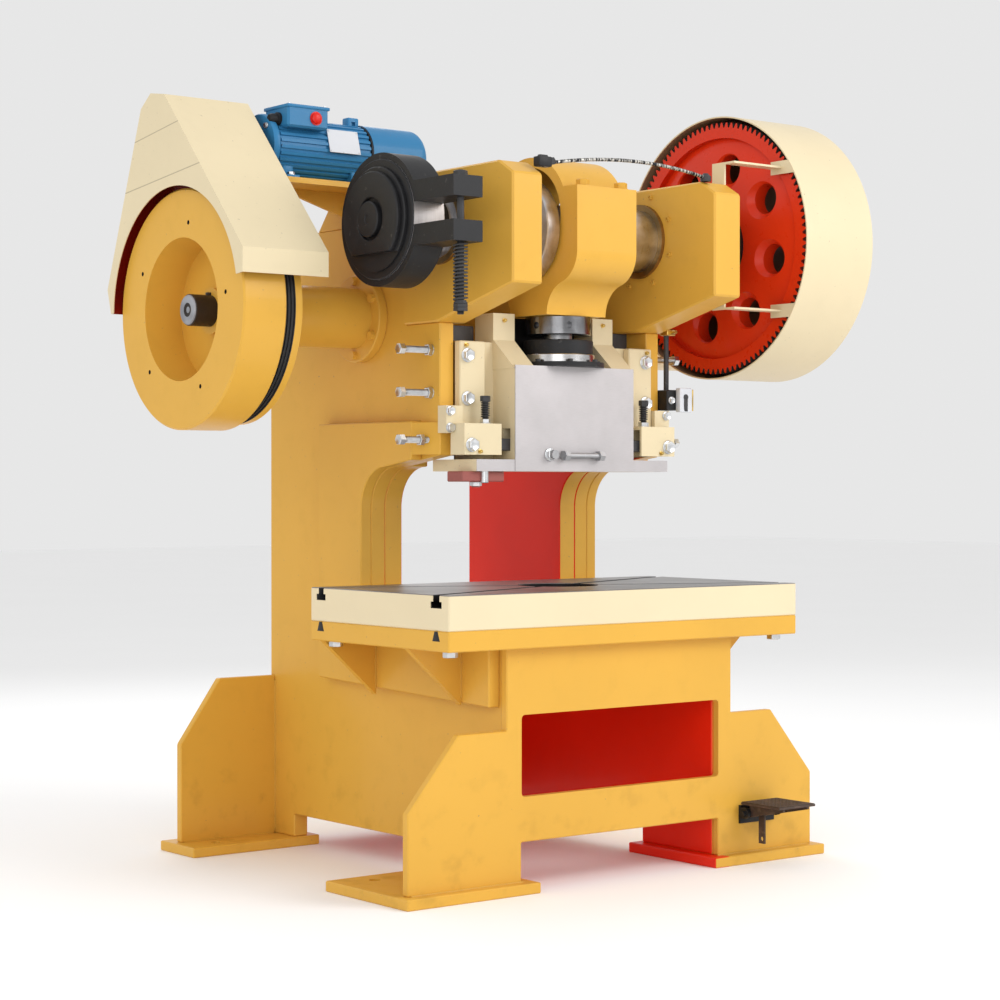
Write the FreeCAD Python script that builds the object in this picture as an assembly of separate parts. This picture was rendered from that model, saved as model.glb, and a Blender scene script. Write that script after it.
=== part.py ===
import FreeCAD, Part
import math
import os

# Open-back geared stamping press.  Millimetres, +Z up, front towards -Y, X = 0 on the ram's middle plane.
# Shapes are drawn from a front datum and saved with the foundation bolt pattern's centre as the origin.
V = FreeCAD.Vector
X_AXIS = V(1, 0, 0)
Y_AXIS = V(0, 1, 0)
Z_AXIS = V(0, 0, 1)

# ---- frame ----
MID_Y = 725.0                # front datum to the middle of the foundation bolts
FACE_Y = 20.0                # front of the front plate
PLATE = 25.0                 # front plate and back plates
SIDE_X = (368.0, 418.0)      # inner and outer face of a side plate
DOUBLER_X = (418.0, 456.0)
LINER_X = (306.0, 368.0)
BACK_Y = 1235.0
THROAT_Y = 679.0             # the throat's upright face
THROAT_BEND = (1060.0, (643.0, 1144.0), (560.0, 1180.0))
JAW_Y = 337.0
JAW_Z = 1212.0               # underside of the head
CHEEK_X = (324.0, 430.0)
CHEEK_Z = (1592.0, 2022.0)
CHEEK_BACK_Y = 500.0
REAR_TOP_Z = 1900.0
FOOT_X = (330.0, 785.0)
FOOT_Z = 30.0
FOOT_Y = (-15.0, 375.0)
LEG_X = 759.0
WINDOW_X = 372.0
WINDOW_Z = (265.0, 492.0)
ARCH_Z = 140.0
BED_Z = (678.0, 734.0)
TABLE_Z = 831.0
TABLE_X = 654.0
TABLE_Y = (-22.0, 646.0)
DROP_HOLE_R = 120.0
SLOT_NECK = (28.0, 18.0)     # width and depth
SLOT_HEAD = (46.0, 18.0)
ANCHOR_X = 670.0
ANCHOR_Y = (300.0, 1150.0)
ANCHOR_R = 16.5
EDGE = 3.0                   # broken edges of cut plates

# ---- crank, pitman and ram ----
RAM_Y = 315.0
CRANK_Z = 1865.0
THROW = 40.0
PIN_Z = CRANK_Z + THROW
JOURNAL_R = 94.0
SHAFT_END_R = 80.0
CRANK_END_X = (655.0, 760.0)
PIN_R = 48.0
WEB_R = 155.0
WEB_X = (118.0, 165.0)
BUSH_R = 112.0
PITMAN_X = 112.0
BIG_END_R = 178.0
BIG_END_BORE = 148.0
LEDGE_Z = 1984.0
PITMAN_Y = (92.0, 230.0)     # front of the big end and of the shank
KNEE_Z = 1800.0
PITMAN_FOOT_Z = 1622.0
BALL_Z = 1440.0
BALL_R = 64.0
SCREW_R = 42.0
CAP_TOP_Z = 1552.0
NUT_R = 97.0
BARREL_R = 104.0             # upper part of the ball cap
SLIDE_X = 225.0
SLIDE_Y = (233.0, 420.0)
SLIDE_TOP_Z = 1472.0
FLANGE_X = 363.0
FLANGE_Y = (235.0, 445.0)
FLANGE_Z = (1166.0, 1200.0)
EAR_X = (149.0, 228.0)
WING_X = 301.6
GUIDE_Y = (337.0, 426.0)     # front and back guide faces
GUIDE_X = 302.0              # side guide faces
SLACK = 0.4                  # sliding clearance
RUN = 0.05                   # radial running clearance
SHANK_R = 30.0
SHANK_DEPTH = 50.0
GIB_SCREW_R = 10.0
GIB_SCREW_Y = 380.0
GIB_SCREW_Z = (1256.0, 1391.0, 1514.0)
KNOCK_Y = (258.0, 292.0)
KNOCK_Z = (1226.0, 1260.0)

# ---- gear train ----
MODULE = 7.0
GEAR_TEETH = 110
PINION_TEETH = 26
CENTRES = MODULE * (GEAR_TEETH + PINION_TEETH) / 2
SHAFT_Z = 1621.5
SHAFT_Y = RAM_Y + math.sqrt(CENTRES ** 2 - (CRANK_Z - SHAFT_Z) ** 2)
SHAFT_R = 45.0
GEAR_X = (640.0, 730.0)
HUB_X = (560.0, 740.0)
HUB_R = 130.0
RIM_R = 344.0
WEB_HOLES = 8
WEB_HOLE_R = 46.0
WEB_HOLE_CIRCLE = 248.0
WHEEL_X = (-1040.0, -902.0, -841.0)
WHEEL_R = 340.0
BELTS_X = (-892.0, -881.0, -870.0)
BELT = (9.0, 10.0)           # width and thickness
WHEEL_BELT_R = 307.0         # under the belts
MOTOR_BELT_R = 51.0
MOTOR_Y = 768.0
MOTOR_Z = 2110.0
MOTOR_R = 90.0
MOTOR_SHAFT_R = 19.0

# ---- brake ----
DRUM_X = (-650.0, -540.0)
DRUM_R = 168.0
BAND_R = (168.5, 186.0)
LUG_Y = -30.0
BRAKE_BOLT = (-595.0, 4.0)
BRAKE_SLOT = (27.0, 36.0)      # below and above the crank axis

# ---- guards ----
SHEET = 4.0
WHEEL_GUARD_X = (-1065.0, -788.0)
GEAR_GUARD_X = (626.0, 910.0)
GEAR_GUARD_R = 409.0
PINION_GUARD_R = 116.0

# ---- pedal ----
PEDAL_X = (450.0, 600.0)
PEDAL_AXIS = (-4.0, 150.0)
TRIP = (444.0, 330.0)


def box(x0, x1, y0, y1, z0, z1):
    return Part.makeBox(x1 - x0, y1 - y0, z1 - z0, V(x0, y0, z0))


def rod_x(r, x0, x1, y, z):
    return Part.makeCylinder(r, x1 - x0, V(x0, y, z), X_AXIS)


def rod_y(r, y0, y1, x, z):
    return Part.makeCylinder(r, y1 - y0, V(x, y0, z), Y_AXIS)


def rod_z(r, z0, z1, x, y):
    return Part.makeCylinder(r, z1 - z0, V(x, y, z0), Z_AXIS)


def ring_x(outer, inner, x0, x1, y, z):
    return rod_x(outer, x0, x1, y, z).cut(rod_x(inner, x0 - 1, x1 + 1, y, z))


def hexagon(across, depth, centre, axis):
    """A hexagonal head standing on centre and reaching depth along axis."""
    radius = across / math.sqrt(3)
    side = X_AXIS if abs(axis.x) < 0.5 else Y_AXIS
    other = axis.cross(side)
    corners = []
    for k in range(6):
        angle = math.radians(60 * k)
        corners.append(centre + side * (radius * math.cos(angle)) + other * (radius * math.sin(angle)))
    return Part.Face(Part.makePolygon(corners + corners[:1])).extrude(axis * depth)


def outline(points, place):
    """A closed wire through points; an entry of two pairs is an arc (via, end)."""
    edges = []
    last = points[0]
    for step in points[1:] + points[:1]:
        if isinstance(step[0], tuple):
            edges.append(Part.Arc(place(*last), place(*step[0]), place(*step[1])).toShape())
            last = step[1]
        elif step != last:
            edges.append(Part.LineSegment(place(*last), place(*step)).toShape())
            last = step
    return Part.Wire(edges)


def slab_x(points, x0, x1):
    """A plate across X from an outline in (y, z)."""
    wire = outline(points, lambda y, z: V(x0, y, z))
    return Part.Face(wire).extrude(V(x1 - x0, 0, 0))


def slab_y(points, y0, y1):
    """A plate across Y from an outline in (x, z)."""
    wire = outline(points, lambda x, z: V(x, y0, z))
    return Part.Face(wire).extrude(V(0, y1 - y0, 0))


def slab_z(points, z0, z1):
    """A plate across Z from an outline in (x, y)."""
    wire = outline(points, lambda x, y: V(x, y, z0))
    return Part.Face(wire).extrude(V(0, 0, z1 - z0))


def soften(shape, size=EDGE):
    return shape.makeChamfer(size, shape.Edges)


def mirror(shape):
    return shape.mirror(V(0, 0, 0), X_AXIS)


def both(shapes):
    """The given right-hand shapes with their mirror images."""
    return shapes + [mirror(shape) for shape in shapes]


def save(name, *shapes):
    """Writes one sub-part, moved so that the bolt pattern's centre is the origin."""
    part = shapes[0] if len(shapes) == 1 else Part.makeCompound(list(shapes))
    part = part.copy()
    part.translate(V(0, -MID_Y, 0))
    part.exportStep(os.path.join("parts", name + ".step"))


def save_pair(name, right):
    """Writes a right-hand piece and its mirror image."""
    save(name + "_right", right)
    save(name + "_left", mirror(right))


# ---- welded frame ----

def side_plate():
    bend_z, bend_via, bend_end = THROAT_BEND
    points = [(FACE_Y + PLATE, FOOT_Z), (FACE_Y + PLATE, BED_Z[0]), (THROAT_Y, BED_Z[0]), (THROAT_Y, bend_z),
              (bend_via, bend_end), (JAW_Y, JAW_Z), (JAW_Y, CHEEK_Z[0]), (CHEEK_BACK_Y, CHEEK_Z[0]),
              (CHEEK_BACK_Y, CHEEK_Z[1]), (620.0, REAR_TOP_Z), (BACK_Y, REAR_TOP_Z), (BACK_Y, FOOT_Z),
              (1100.0, FOOT_Z), (1100.0, 100.0), (FOOT_Y[1] - 20, 100.0), (FOOT_Y[1] - 20, FOOT_Z)]
    plate = soften(slab_x(points, *SIDE_X)).cut(gib_screw_holes())
    return plate.cut(rod_x(60.0, SIDE_X[0] - 1, SIDE_X[1] + 1, SHAFT_Y, SHAFT_Z))


def gib_screw_holes():
    holes = [rod_x(GIB_SCREW_R, SIDE_X[0] - 1, DOUBLER_X[1] + 1, GIB_SCREW_Y, z) for z in GIB_SCREW_Z]
    return Part.makeCompound(holes)


def throat_doubler():
    bend_z, bend_via, bend_end = THROAT_BEND
    points = [(60.0, 514.0), (60.0, BED_Z[0] - 2), (THROAT_Y, BED_Z[0] - 2), (THROAT_Y, bend_z),
              (bend_via, bend_end), (425.0, 1199.0), (425.0, 1310.0), (906.0, 1310.0), (906.0, 544.0)]
    plate = soften(slab_x(points, *DOUBLER_X))
    nose = [(DOUBLER_X[0], JAW_Y + 4), (DOUBLER_X[1] - EDGE, 425.0), (DOUBLER_X[1] - EDGE, 430.0),
            (DOUBLER_X[0], 430.0)]
    return plate.fuse(slab_z(nose, 1214.0, 1306.0)).cut(gib_screw_holes())


def throat_liner():
    bend_z, bend_via, bend_end = THROAT_BEND
    points = [(THROAT_Y, BED_Z[0]), (THROAT_Y, bend_z), (bend_via, bend_end), (548.0, 1181.0),
              (548.0, 1221.0), (566.0, 1220.0), ((671.0, 1172.0), (719.0, bend_z)), (719.0, BED_Z[0])]
    return soften(slab_x(points, *LINER_X))


def front_plate():
    half = [(424.0, BED_Z[0]), (424.0, 450.0), (589.0, 450.0), (LEG_X, 250.0), (LEG_X, FOOT_Z),
            (WINDOW_X, FOOT_Z), (WINDOW_X, ARCH_Z)]
    points = half + [(-x, z) for x, z in reversed(half)]
    plate = soften(slab_y(points, FACE_Y, FACE_Y + PLATE))
    window = box(-WINDOW_X, WINDOW_X, FACE_Y - 1, FACE_Y + PLATE + 1, *WINDOW_Z)
    return plate.cut(window.makeFillet(12.0, [e for e in window.Edges if abs(e.BoundBox.YLength) > 20]))


def rear_leg():
    points = [(SIDE_X[1], FOOT_Z), (SIDE_X[1], 527.0), (620.0, 527.0), (LEG_X, 331.0), (LEG_X, FOOT_Z)]
    return soften(slab_y(points, BACK_Y - PLATE, BACK_Y))


def foot(y0, y1, anchor_y):
    plate = soften(box(*FOOT_X, y0, y1, 0, FOOT_Z))
    return plate.cut(rod_z(ANCHOR_R, -1, FOOT_Z + 1, ANCHOR_X, anchor_y))


def head_cheek():
    points = [(-14.0, 1682.0), (-14.0, LEDGE_Z), (50.0, CHEEK_Z[1]), (CHEEK_BACK_Y, CHEEK_Z[1]),
              (CHEEK_BACK_Y, CHEEK_Z[0]), (JAW_Y, CHEEK_Z[0])]
    block = soften(slab_x(points, *CHEEK_X), 5.0)
    return block.cut(rod_x(BUSH_R, CHEEK_X[0] - 1, CHEEK_X[1] + 1, RAM_Y, CRANK_Z))


def crown_plate():
    return soften(box(-SIDE_X[0], SIDE_X[0], 640.0, 665.0, 1300.0, 1890.0))


def lower_back_plate():
    return soften(box(-SIDE_X[0], SIDE_X[0], 1185.0, 1210.0, 100.0, 700.0))


def bed_plate():
    plate = soften(box(-TABLE_X, TABLE_X, *TABLE_Y, *BED_Z))
    return plate.cut(rod_z(DROP_HOLE_R, BED_Z[0] - 1, BED_Z[1] + 1, 0, RAM_Y))


def t_slot(dx, dy):
    """The cutter for one T-slot, from the drop hole out past the plate's edge."""
    length = math.hypot(dx, dy)
    neck_z = TABLE_Z - SLOT_NECK[1]
    cutter = box(0, length, -SLOT_NECK[0] / 2, SLOT_NECK[0] / 2, neck_z - 1, TABLE_Z + 1)
    cutter = cutter.fuse(box(0, length, -SLOT_HEAD[0] / 2, SLOT_HEAD[0] / 2, neck_z - SLOT_HEAD[1], neck_z))
    cutter.rotate(V(0, 0, 0), Z_AXIS, math.degrees(math.atan2(dy, dx)))
    cutter.translate(V(0, RAM_Y, 0))
    return cutter


def bolster_plate():
    plate = soften(box(-TABLE_X, TABLE_X, *TABLE_Y, BED_Z[1], TABLE_Z))
    for dx in (-720.0, 720.0):
        for dy in (-308.0, 308.0):
            plate = plate.cut(t_slot(dx, dy))
    return plate.cut(rod_z(DROP_HOLE_R, BED_Z[1] - 1, TABLE_Z + 1, 0, RAM_Y))


def bed_gussets():
    points = [(DOUBLER_X[1], BED_Z[0]), (640.0, BED_Z[0]), (DOUBLER_X[1], 512.0)]
    return both([slab_y(points, y, y + 20.0) for y in (185.0, 600.0)])


def bolster_bolts():
    heads = [hexagon(36.0, 18.0, V(610.0, y, BED_Z[0] - 18), Z_AXIS) for y in (30.0, 580.0)]
    return both(heads)


# ---- crankshaft, brake and gear ----

def crankshaft():
    shaft = rod_x(SHAFT_END_R, -CRANK_END_X[0], -WEB_X[0], RAM_Y, CRANK_Z)
    shaft = shaft.fuse(rod_x(SHAFT_END_R, WEB_X[0], CRANK_END_X[1], RAM_Y, CRANK_Z))
    for x0, x1 in ((-CHEEK_X[1] - 14, -WEB_X[0]), (WEB_X[0], CHEEK_X[1] + 14)):
        shaft = shaft.fuse(rod_x(JOURNAL_R, x0, x1, RAM_Y, CRANK_Z))
    for x0, x1 in ((-WEB_X[1], -WEB_X[0]), WEB_X):
        shaft = shaft.fuse(soften(rod_x(WEB_R, x0, x1, RAM_Y, CRANK_Z)))
    return shaft.fuse(rod_x(PIN_R, -WEB_X[0] - 5, WEB_X[0] + 5, RAM_Y, PIN_Z))


def crank_bush():
    return ring_x(BUSH_R, JOURNAL_R + RUN, CHEEK_X[0] - 12, CHEEK_X[1] + 12, RAM_Y, CRANK_Z)


def clutch_collar():
    collar = soften(rod_x(115.0, 450.0, 540.0, RAM_Y, CRANK_Z))
    return collar.cut(rod_x(SHAFT_END_R, 449.0, 541.0, RAM_Y, CRANK_Z))


def brake_drum():
    drum = soften(rod_x(DRUM_R, *DRUM_X, RAM_Y, CRANK_Z))
    drum = drum.fuse(soften(rod_x(DRUM_R - 22, DRUM_X[0] - 12, DRUM_X[0] + 2, RAM_Y, CRANK_Z)))
    drum = drum.cut(box(DRUM_X[0] - 13, DRUM_X[0] - 6, RAM_Y - 200, RAM_Y + 200, CRANK_Z - 200, CRANK_Z - 96))
    return drum.cut(rod_x(SHAFT_END_R, DRUM_X[0] - 13, DRUM_X[1] + 1, RAM_Y, CRANK_Z))


def brake_band():
    x0 = DRUM_X[0] + 6
    x1 = DRUM_X[1] - 6
    band = ring_x(BAND_R[1], BAND_R[0], x0, x1, RAM_Y, CRANK_Z)
    below, above = BRAKE_SLOT
    band = band.cut(box(x0 - 1, x1 + 1, 0, RAM_Y, CRANK_Z - below, CRANK_Z + above))
    for z0, z1 in ((CRANK_Z + above, CRANK_Z + above + 57), (CRANK_Z - below - 57, CRANK_Z - below)):
        lug = box(x0, x1, LUG_Y, RAM_Y - 120, z0, z1)
        band = band.fuse(lug.cut(rod_x(BAND_R[0] + 2, x0 - 1, x1 + 1, RAM_Y, CRANK_Z)))
    band = band.cut(rod_z(11.0, CRANK_Z - 100, CRANK_Z + 100, *BRAKE_BOLT))
    return band.fuse(box(x0 + 30, -SIDE_X[1], RAM_Y + BAND_R[1] - 1, 530.0, CRANK_Z - 15, CRANK_Z + 15))


def brake_bolt():
    """The band's tension bolt with its two nuts and its spring."""
    x, y = BRAKE_BOLT
    spring = rod_z(21.0, CRANK_Z - 250, CRANK_Z - 84, x, y)
    spring = spring.cut(rod_z(11.0, CRANK_Z - 251, CRANK_Z - 83, x, y))
    bolt = rod_z(10.0, CRANK_Z - 279, CRANK_Z + 110, x, y)
    bolt = bolt.fuse(hexagon(34.0, 14.0, V(x, y, CRANK_Z + 93), Z_AXIS))
    return [bolt.fuse(hexagon(34.0, 20.0, V(x, y, CRANK_Z - 270), Z_AXIS)), spring]


def involute(radius, base):
    angle = math.acos(min(1.0, base / radius))
    return math.tan(angle) - angle


def toothed_wire(teeth, x, y, z, phase):
    """A closed wire of involute teeth, with one tooth's middle at the angle phase."""
    pitch = MODULE * teeth / 2
    base = pitch * math.cos(math.radians(20))
    tip = pitch + MODULE * 0.95
    root = pitch - MODULE * 1.25
    low = max(base, root)
    half = math.pi / (2 * teeth) - 0.3 / pitch
    flank = []
    for k in range(4):
        radius = low + (tip - low) * k / 3
        flank.append((radius, half + involute(pitch, base) - involute(radius, base)))
    foot_angle = flank[0][1] + 0.1 / teeth
    steps = [(root, -foot_angle)] + [(r, -a) for r, a in flank]
    steps += [(r, a) for r, a in reversed(flank)] + [(root, foot_angle)]
    points = []
    for n in range(teeth):
        middle = phase + 2 * math.pi * n / teeth
        for radius, angle in steps:
            points.append(V(x, y + radius * math.cos(middle + angle), z + radius * math.sin(middle + angle)))
    return Part.makePolygon(points + points[:1])


def gear_web():
    """The cast web: a bulging disc between hub and rim, with round lightening holes."""
    near = [V(632, 120, 0), V(634, 200, 0), V(660, RIM_R + 1, 0)]
    far = [V(704, RIM_R + 1, 0), V(694, 200, 0), V(692, 120, 0)]
    edges = [Part.Arc(*near).toShape(), Part.LineSegment(near[2], far[0]).toShape(),
             Part.Arc(*far).toShape(), Part.LineSegment(far[2], near[0]).toShape()]
    web = Part.Face(Part.Wire(edges)).revolve(V(0, 0, 0), X_AXIS, 360)
    web.translate(V(0, RAM_Y, CRANK_Z))
    for k in range(WEB_HOLES):
        angle = 2 * math.pi * k / WEB_HOLES + 0.2
        y = RAM_Y + WEB_HOLE_CIRCLE * math.cos(angle)
        z = CRANK_Z + WEB_HOLE_CIRCLE * math.sin(angle)
        web = web.cut(rod_x(WEB_HOLE_R, 600.0, 720.0, y, z))
        web = web.cut(Part.makeCone(WEB_HOLE_R + 34, WEB_HOLE_R - 6, 40, V(618.0, y, z), X_AXIS))
    return web


def main_gear():
    to_pinion = math.atan2(SHAFT_Z - CRANK_Z, SHAFT_Y - RAM_Y)
    outer = toothed_wire(GEAR_TEETH, GEAR_X[0], RAM_Y, CRANK_Z, to_pinion)
    gear = Part.Face(outer).extrude(V(GEAR_X[1] - GEAR_X[0], 0, 0))
    gear = gear.cut(rod_x(RIM_R, GEAR_X[0] - 1, GEAR_X[1] + 1, RAM_Y, CRANK_Z))
    gear = gear.fuse(gear_web()).fuse(soften(rod_x(HUB_R, *HUB_X, RAM_Y, CRANK_Z)))
    return gear.cut(rod_x(SHAFT_END_R + RUN, HUB_X[0] - 1, HUB_X[1] + 1, RAM_Y, CRANK_Z))


# ---- back shaft, flywheel and motor drive ----

def pinion():
    to_gear = math.atan2(CRANK_Z - SHAFT_Z, RAM_Y - SHAFT_Y)
    outer = toothed_wire(PINION_TEETH, GEAR_X[0] - 5, SHAFT_Y, SHAFT_Z, to_gear + math.pi / PINION_TEETH)
    gear = Part.Face(outer).extrude(V(GEAR_X[1] - GEAR_X[0] + 10, 0, 0))
    return gear.cut(rod_x(SHAFT_R, GEAR_X[0] - 6, GEAR_X[1] + 6, SHAFT_Y, SHAFT_Z))


def back_shaft():
    return soften(rod_x(SHAFT_R, WHEEL_X[0] + 24, 760.0, SHAFT_Y, SHAFT_Z))


def flywheel():
    wheel = soften(rod_x(WHEEL_R, WHEEL_X[0], WHEEL_X[1], SHAFT_Y, SHAFT_Z), 5.0)
    wheel = wheel.fuse(rod_x(322.0, WHEEL_X[1] - 6, WHEEL_X[2], SHAFT_Y, SHAFT_Z))
    wheel = wheel.cut(rod_x(202.0, WHEEL_X[0] - 1, WHEEL_X[0] + 120, SHAFT_Y, SHAFT_Z))
    wheel = wheel.cut(rod_x(250.0, WHEEL_X[2] - 30, WHEEL_X[2] + 1, SHAFT_Y, SHAFT_Z))
    wheel = wheel.fuse(rod_x(66.0, WHEEL_X[0] + 96, WHEEL_X[2], SHAFT_Y, SHAFT_Z))
    for x in BELTS_X:
        half = BELT[0] / 2 + 0.5
        wheel = wheel.cut(ring_x(330.0, WHEEL_BELT_R - 0.5, x - half, x + half, SHAFT_Y, SHAFT_Z))
    for k in range(5):
        angle = math.radians(72 * k + 28)
        y = SHAFT_Y + 245 * math.cos(angle)
        z = SHAFT_Z + 245 * math.sin(angle)
        wheel = wheel.cut(rod_x(6.5, WHEEL_X[0] - 1, WHEEL_X[0] + 30, y, z))
    return wheel.cut(rod_x(SHAFT_R, WHEEL_X[0] - 1, WHEEL_X[2] + 1, SHAFT_Y, SHAFT_Z))


def loop_solid(x0, x1, r_low, r_high):
    """A solid across X inside a loop round the back shaft and the motor shaft."""
    dy = MOTOR_Y - SHAFT_Y
    dz = MOTOR_Z - SHAFT_Z
    along = math.atan2(dz, dy)
    lean = math.acos((r_low - r_high) / math.hypot(dy, dz))
    spots = []
    for y, z, radius, angles in ((SHAFT_Y, SHAFT_Z, r_low, (lean, math.pi, -lean)),
                                 (MOTOR_Y, MOTOR_Z, r_high, (-lean, 0.0, lean))):
        for angle in angles:
            spots.append(V(x0, y + radius * math.cos(along + angle), z + radius * math.sin(along + angle)))
    edges = [Part.Arc(spots[0], spots[1], spots[2]).toShape(), Part.LineSegment(spots[2], spots[3]).toShape(),
             Part.Arc(spots[3], spots[4], spots[5]).toShape(), Part.LineSegment(spots[5], spots[0]).toShape()]
    return Part.Face(Part.Wire(edges)).extrude(V(x1 - x0, 0, 0))


def v_belts():
    belts = []
    for x in BELTS_X:
        x0 = x - BELT[0] / 2
        outer = loop_solid(x0, x0 + BELT[0], WHEEL_BELT_R + BELT[1], MOTOR_BELT_R + BELT[1])
        belts.append(outer.cut(loop_solid(x0 - 1, x0 + BELT[0] + 1, WHEEL_BELT_R, MOTOR_BELT_R)))
    return belts


def motor_pulley():
    x0 = BELTS_X[0] - 11
    x1 = BELTS_X[-1] + 11
    pulley = rod_x(64.0, x0, x1, MOTOR_Y, MOTOR_Z)
    for x in BELTS_X:
        half = BELT[0] / 2 + 0.5
        pulley = pulley.cut(ring_x(70.0, MOTOR_BELT_R - 0.5, x - half, x + half, MOTOR_Y, MOTOR_Z))
    return pulley.cut(rod_x(MOTOR_SHAFT_R, x0 - 1, x1 + 1, MOTOR_Y, MOTOR_Z))


def motor_shaft():
    return rod_x(MOTOR_SHAFT_R, BELTS_X[0] - 15, -600.0, MOTOR_Y, MOTOR_Z)


def shaft_housing(flange_x, end_x):
    """A bearing tube bolted to the outside of a side plate, with a spigot through the plate."""
    tube = rod_x(90.0, flange_x, end_x, SHAFT_Y, SHAFT_Z)
    tube = tube.fuse(soften(rod_x(130.0, flange_x, flange_x + 30, SHAFT_Y, SHAFT_Z)))
    tube = tube.fuse(rod_x(59.8, flange_x - 50, flange_x + 1, SHAFT_Y, SHAFT_Z))
    for k in range(6):
        angle = math.radians(60 * k + 30)
        spot = V(flange_x + 30, SHAFT_Y + 110 * math.cos(angle), SHAFT_Z + 110 * math.sin(angle))
        tube = tube.fuse(hexagon(24.0, 12.0, spot, X_AXIS))
    return tube.cut(rod_x(SHAFT_R + RUN, flange_x - 51, end_x + 1, SHAFT_Y, SHAFT_Z))


def motor_bracket():
    plate = box(-760.0, -180.0, 620.0, 900.0, 1994.0, 2010.0)
    for x0 in (-SIDE_X[1], -SIDE_X[0] - 16):
        points = [(640.0, REAR_TOP_Z), (640.0, 1994.0), (880.0, 1994.0), (960.0, REAR_TOP_Z)]
        plate = plate.fuse(slab_x(points, x0, x0 + 16))
    rib = slab_y([(-SIDE_X[1], 1910.0), (-SIDE_X[1], 1994.0), (-700.0, 1994.0)], 750.0, 762.0)
    return plate.fuse(rib)


def motor_housing():
    body = rod_x(MOTOR_R, -740.0, -410.0, MOTOR_Y, MOTOR_Z)
    body = body.fuse(soften(rod_x(MOTOR_R + 5, -760.0, -738.0, MOTOR_Y, MOTOR_Z)))
    for x0 in (-720.0, -480.0):
        body = body.fuse(box(x0, x0 + 44, MOTOR_Y - 100, MOTOR_Y + 100, 2010.0, 2024.0))
        body = body.fuse(box(x0, x0 + 44, MOTOR_Y - 70, MOTOR_Y + 70, 2022.0, 2060.0))
    return body.cut(rod_x(MOTOR_SHAFT_R + RUN, -761.0, -590.0, MOTOR_Y, MOTOR_Z))


def motor_fan_cover():
    cover = rod_x(MOTOR_R + 4, -410.0, -205.0, MOTOR_Y, MOTOR_Z)
    return cover.makeFillet(28.0, [e for e in cover.Edges if e.BoundBox.XMin > -206])


def terminal_box():
    case = soften(box(-725.0, -585.0, 655.0, 780.0, MOTOR_Z + 50, 2222.0), 6.0)
    return case.cut(rod_x(MOTOR_R, -741.0, -409.0, MOTOR_Y, MOTOR_Z))


# ---- guards ----

def flywheel_guard():
    front = [(352.0, 1700.0), (352.0, 1768.0), (772.0, 2232.0), (850.0, 2244.0), (905.0, 2206.0)]
    rear = [(1105.0, 1700.0), (1084.0, 1628.0)]
    shell = slab_x(front + rear, *WHEEL_GUARD_X)
    hollow = [(356.0, 1500.0), (356.0, 1766.4), (774.0, 2228.2), (848.8, 2239.8), (901.8, 2203.0),
              (1100.8, 1699.6), (1042.0, 1500.0)]
    shell = shell.cut(slab_x(hollow, WHEEL_GUARD_X[0] + SHEET, WHEEL_GUARD_X[1] + 1))
    return shell.cut(rod_x(WHEEL_R + 6, WHEEL_GUARD_X[0] - 1, WHEEL_GUARD_X[0] + 10, SHAFT_Y, SHAFT_Z))


def strap_ends():
    """Bottom and top height of the two straps that carry the gear guard."""
    return (1650.0, 1656.0), (2083.0, 2089.0)


def gear_guard():
    x0, x1 = GEAR_GUARD_X
    shell = rod_x(GEAR_GUARD_R, x0, x1, RAM_Y, CRANK_Z)
    shell = shell.fuse(rod_x(PINION_GUARD_R, x0, x1, SHAFT_Y, SHAFT_Z))
    room = rod_x(GEAR_GUARD_R - SHEET, x0 - 1, x1 - SHEET, RAM_Y, CRANK_Z)
    room = room.fuse(rod_x(PINION_GUARD_R - SHEET, x0 - 1, x1 - SHEET, SHAFT_Y, SHAFT_Z))
    shell = shell.cut(room)
    disc = rod_x(GEAR_GUARD_R - 1, x0, x0 + SHEET, RAM_Y, CRANK_Z)
    for z0, z1 in strap_ends():
        middle = (z0 + z1) / 2
        shell = shell.fuse(disc.common(box(x0, x0 + SHEET, -100.0, 60.0, middle - 20, middle + 20)))
    return shell


def guard_straps():
    straps = []
    for z0, z1 in strap_ends():
        bar = box(CHEEK_X[1], GEAR_GUARD_X[0], 14.0, 58.0, z0, z1)
        reach = (z0, z0 + 100) if z0 < CRANK_Z else (z1 - 100, z1)
        straps.append(bar.fuse(box(CHEEK_X[1], CHEEK_X[1] + 6, 57.0, 110.0, *reach)))
    return straps


# ---- pitman ----

def s_curve(y0, z0, y1, z1):
    """Two equal tangent arcs from (y0, z0) to (y1, z1), upright at both ends."""
    half = math.atan2(abs(y1 - y0), z0 - z1)
    radius = (z0 - z1) / (2 * math.sin(2 * half))
    way = 1 if y1 > y0 else -1
    middle = ((y0 + y1) / 2, (z0 + z1) / 2)
    drop = radius * math.sin(half)
    side = radius * (1 - math.cos(half)) * way
    return [((y0 + side, z0 - drop), middle), ((y1 - side, z1 + drop), (y1, z1))]


def pitman():
    far = [2 * RAM_Y - y for y in PITMAN_Y]
    points = [(PITMAN_Y[0], PIN_Z), (PITMAN_Y[0], KNEE_Z)]
    points += s_curve(PITMAN_Y[0], KNEE_Z, PITMAN_Y[1], PITMAN_FOOT_Z)
    points += [(far[1], PITMAN_FOOT_Z)]
    rise = [far[1], PITMAN_FOOT_Z, far[0], KNEE_Z]
    mirrored = s_curve(rise[2], rise[3], rise[0], rise[1])
    points += [(mirrored[1][0], mirrored[0][1]), (mirrored[0][0], (rise[2], rise[3]))]
    points += [(far[0], PIN_Z)]
    body = slab_x(points, -PITMAN_X, PITMAN_X)
    body = body.cut(rod_x(BIG_END_BORE, -PITMAN_X - 1, PITMAN_X + 1, RAM_Y, PIN_Z))
    return body.cut(rod_z(SCREW_R, PITMAN_FOOT_Z - 1, PITMAN_FOOT_Z + 90, 0, RAM_Y))


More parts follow.
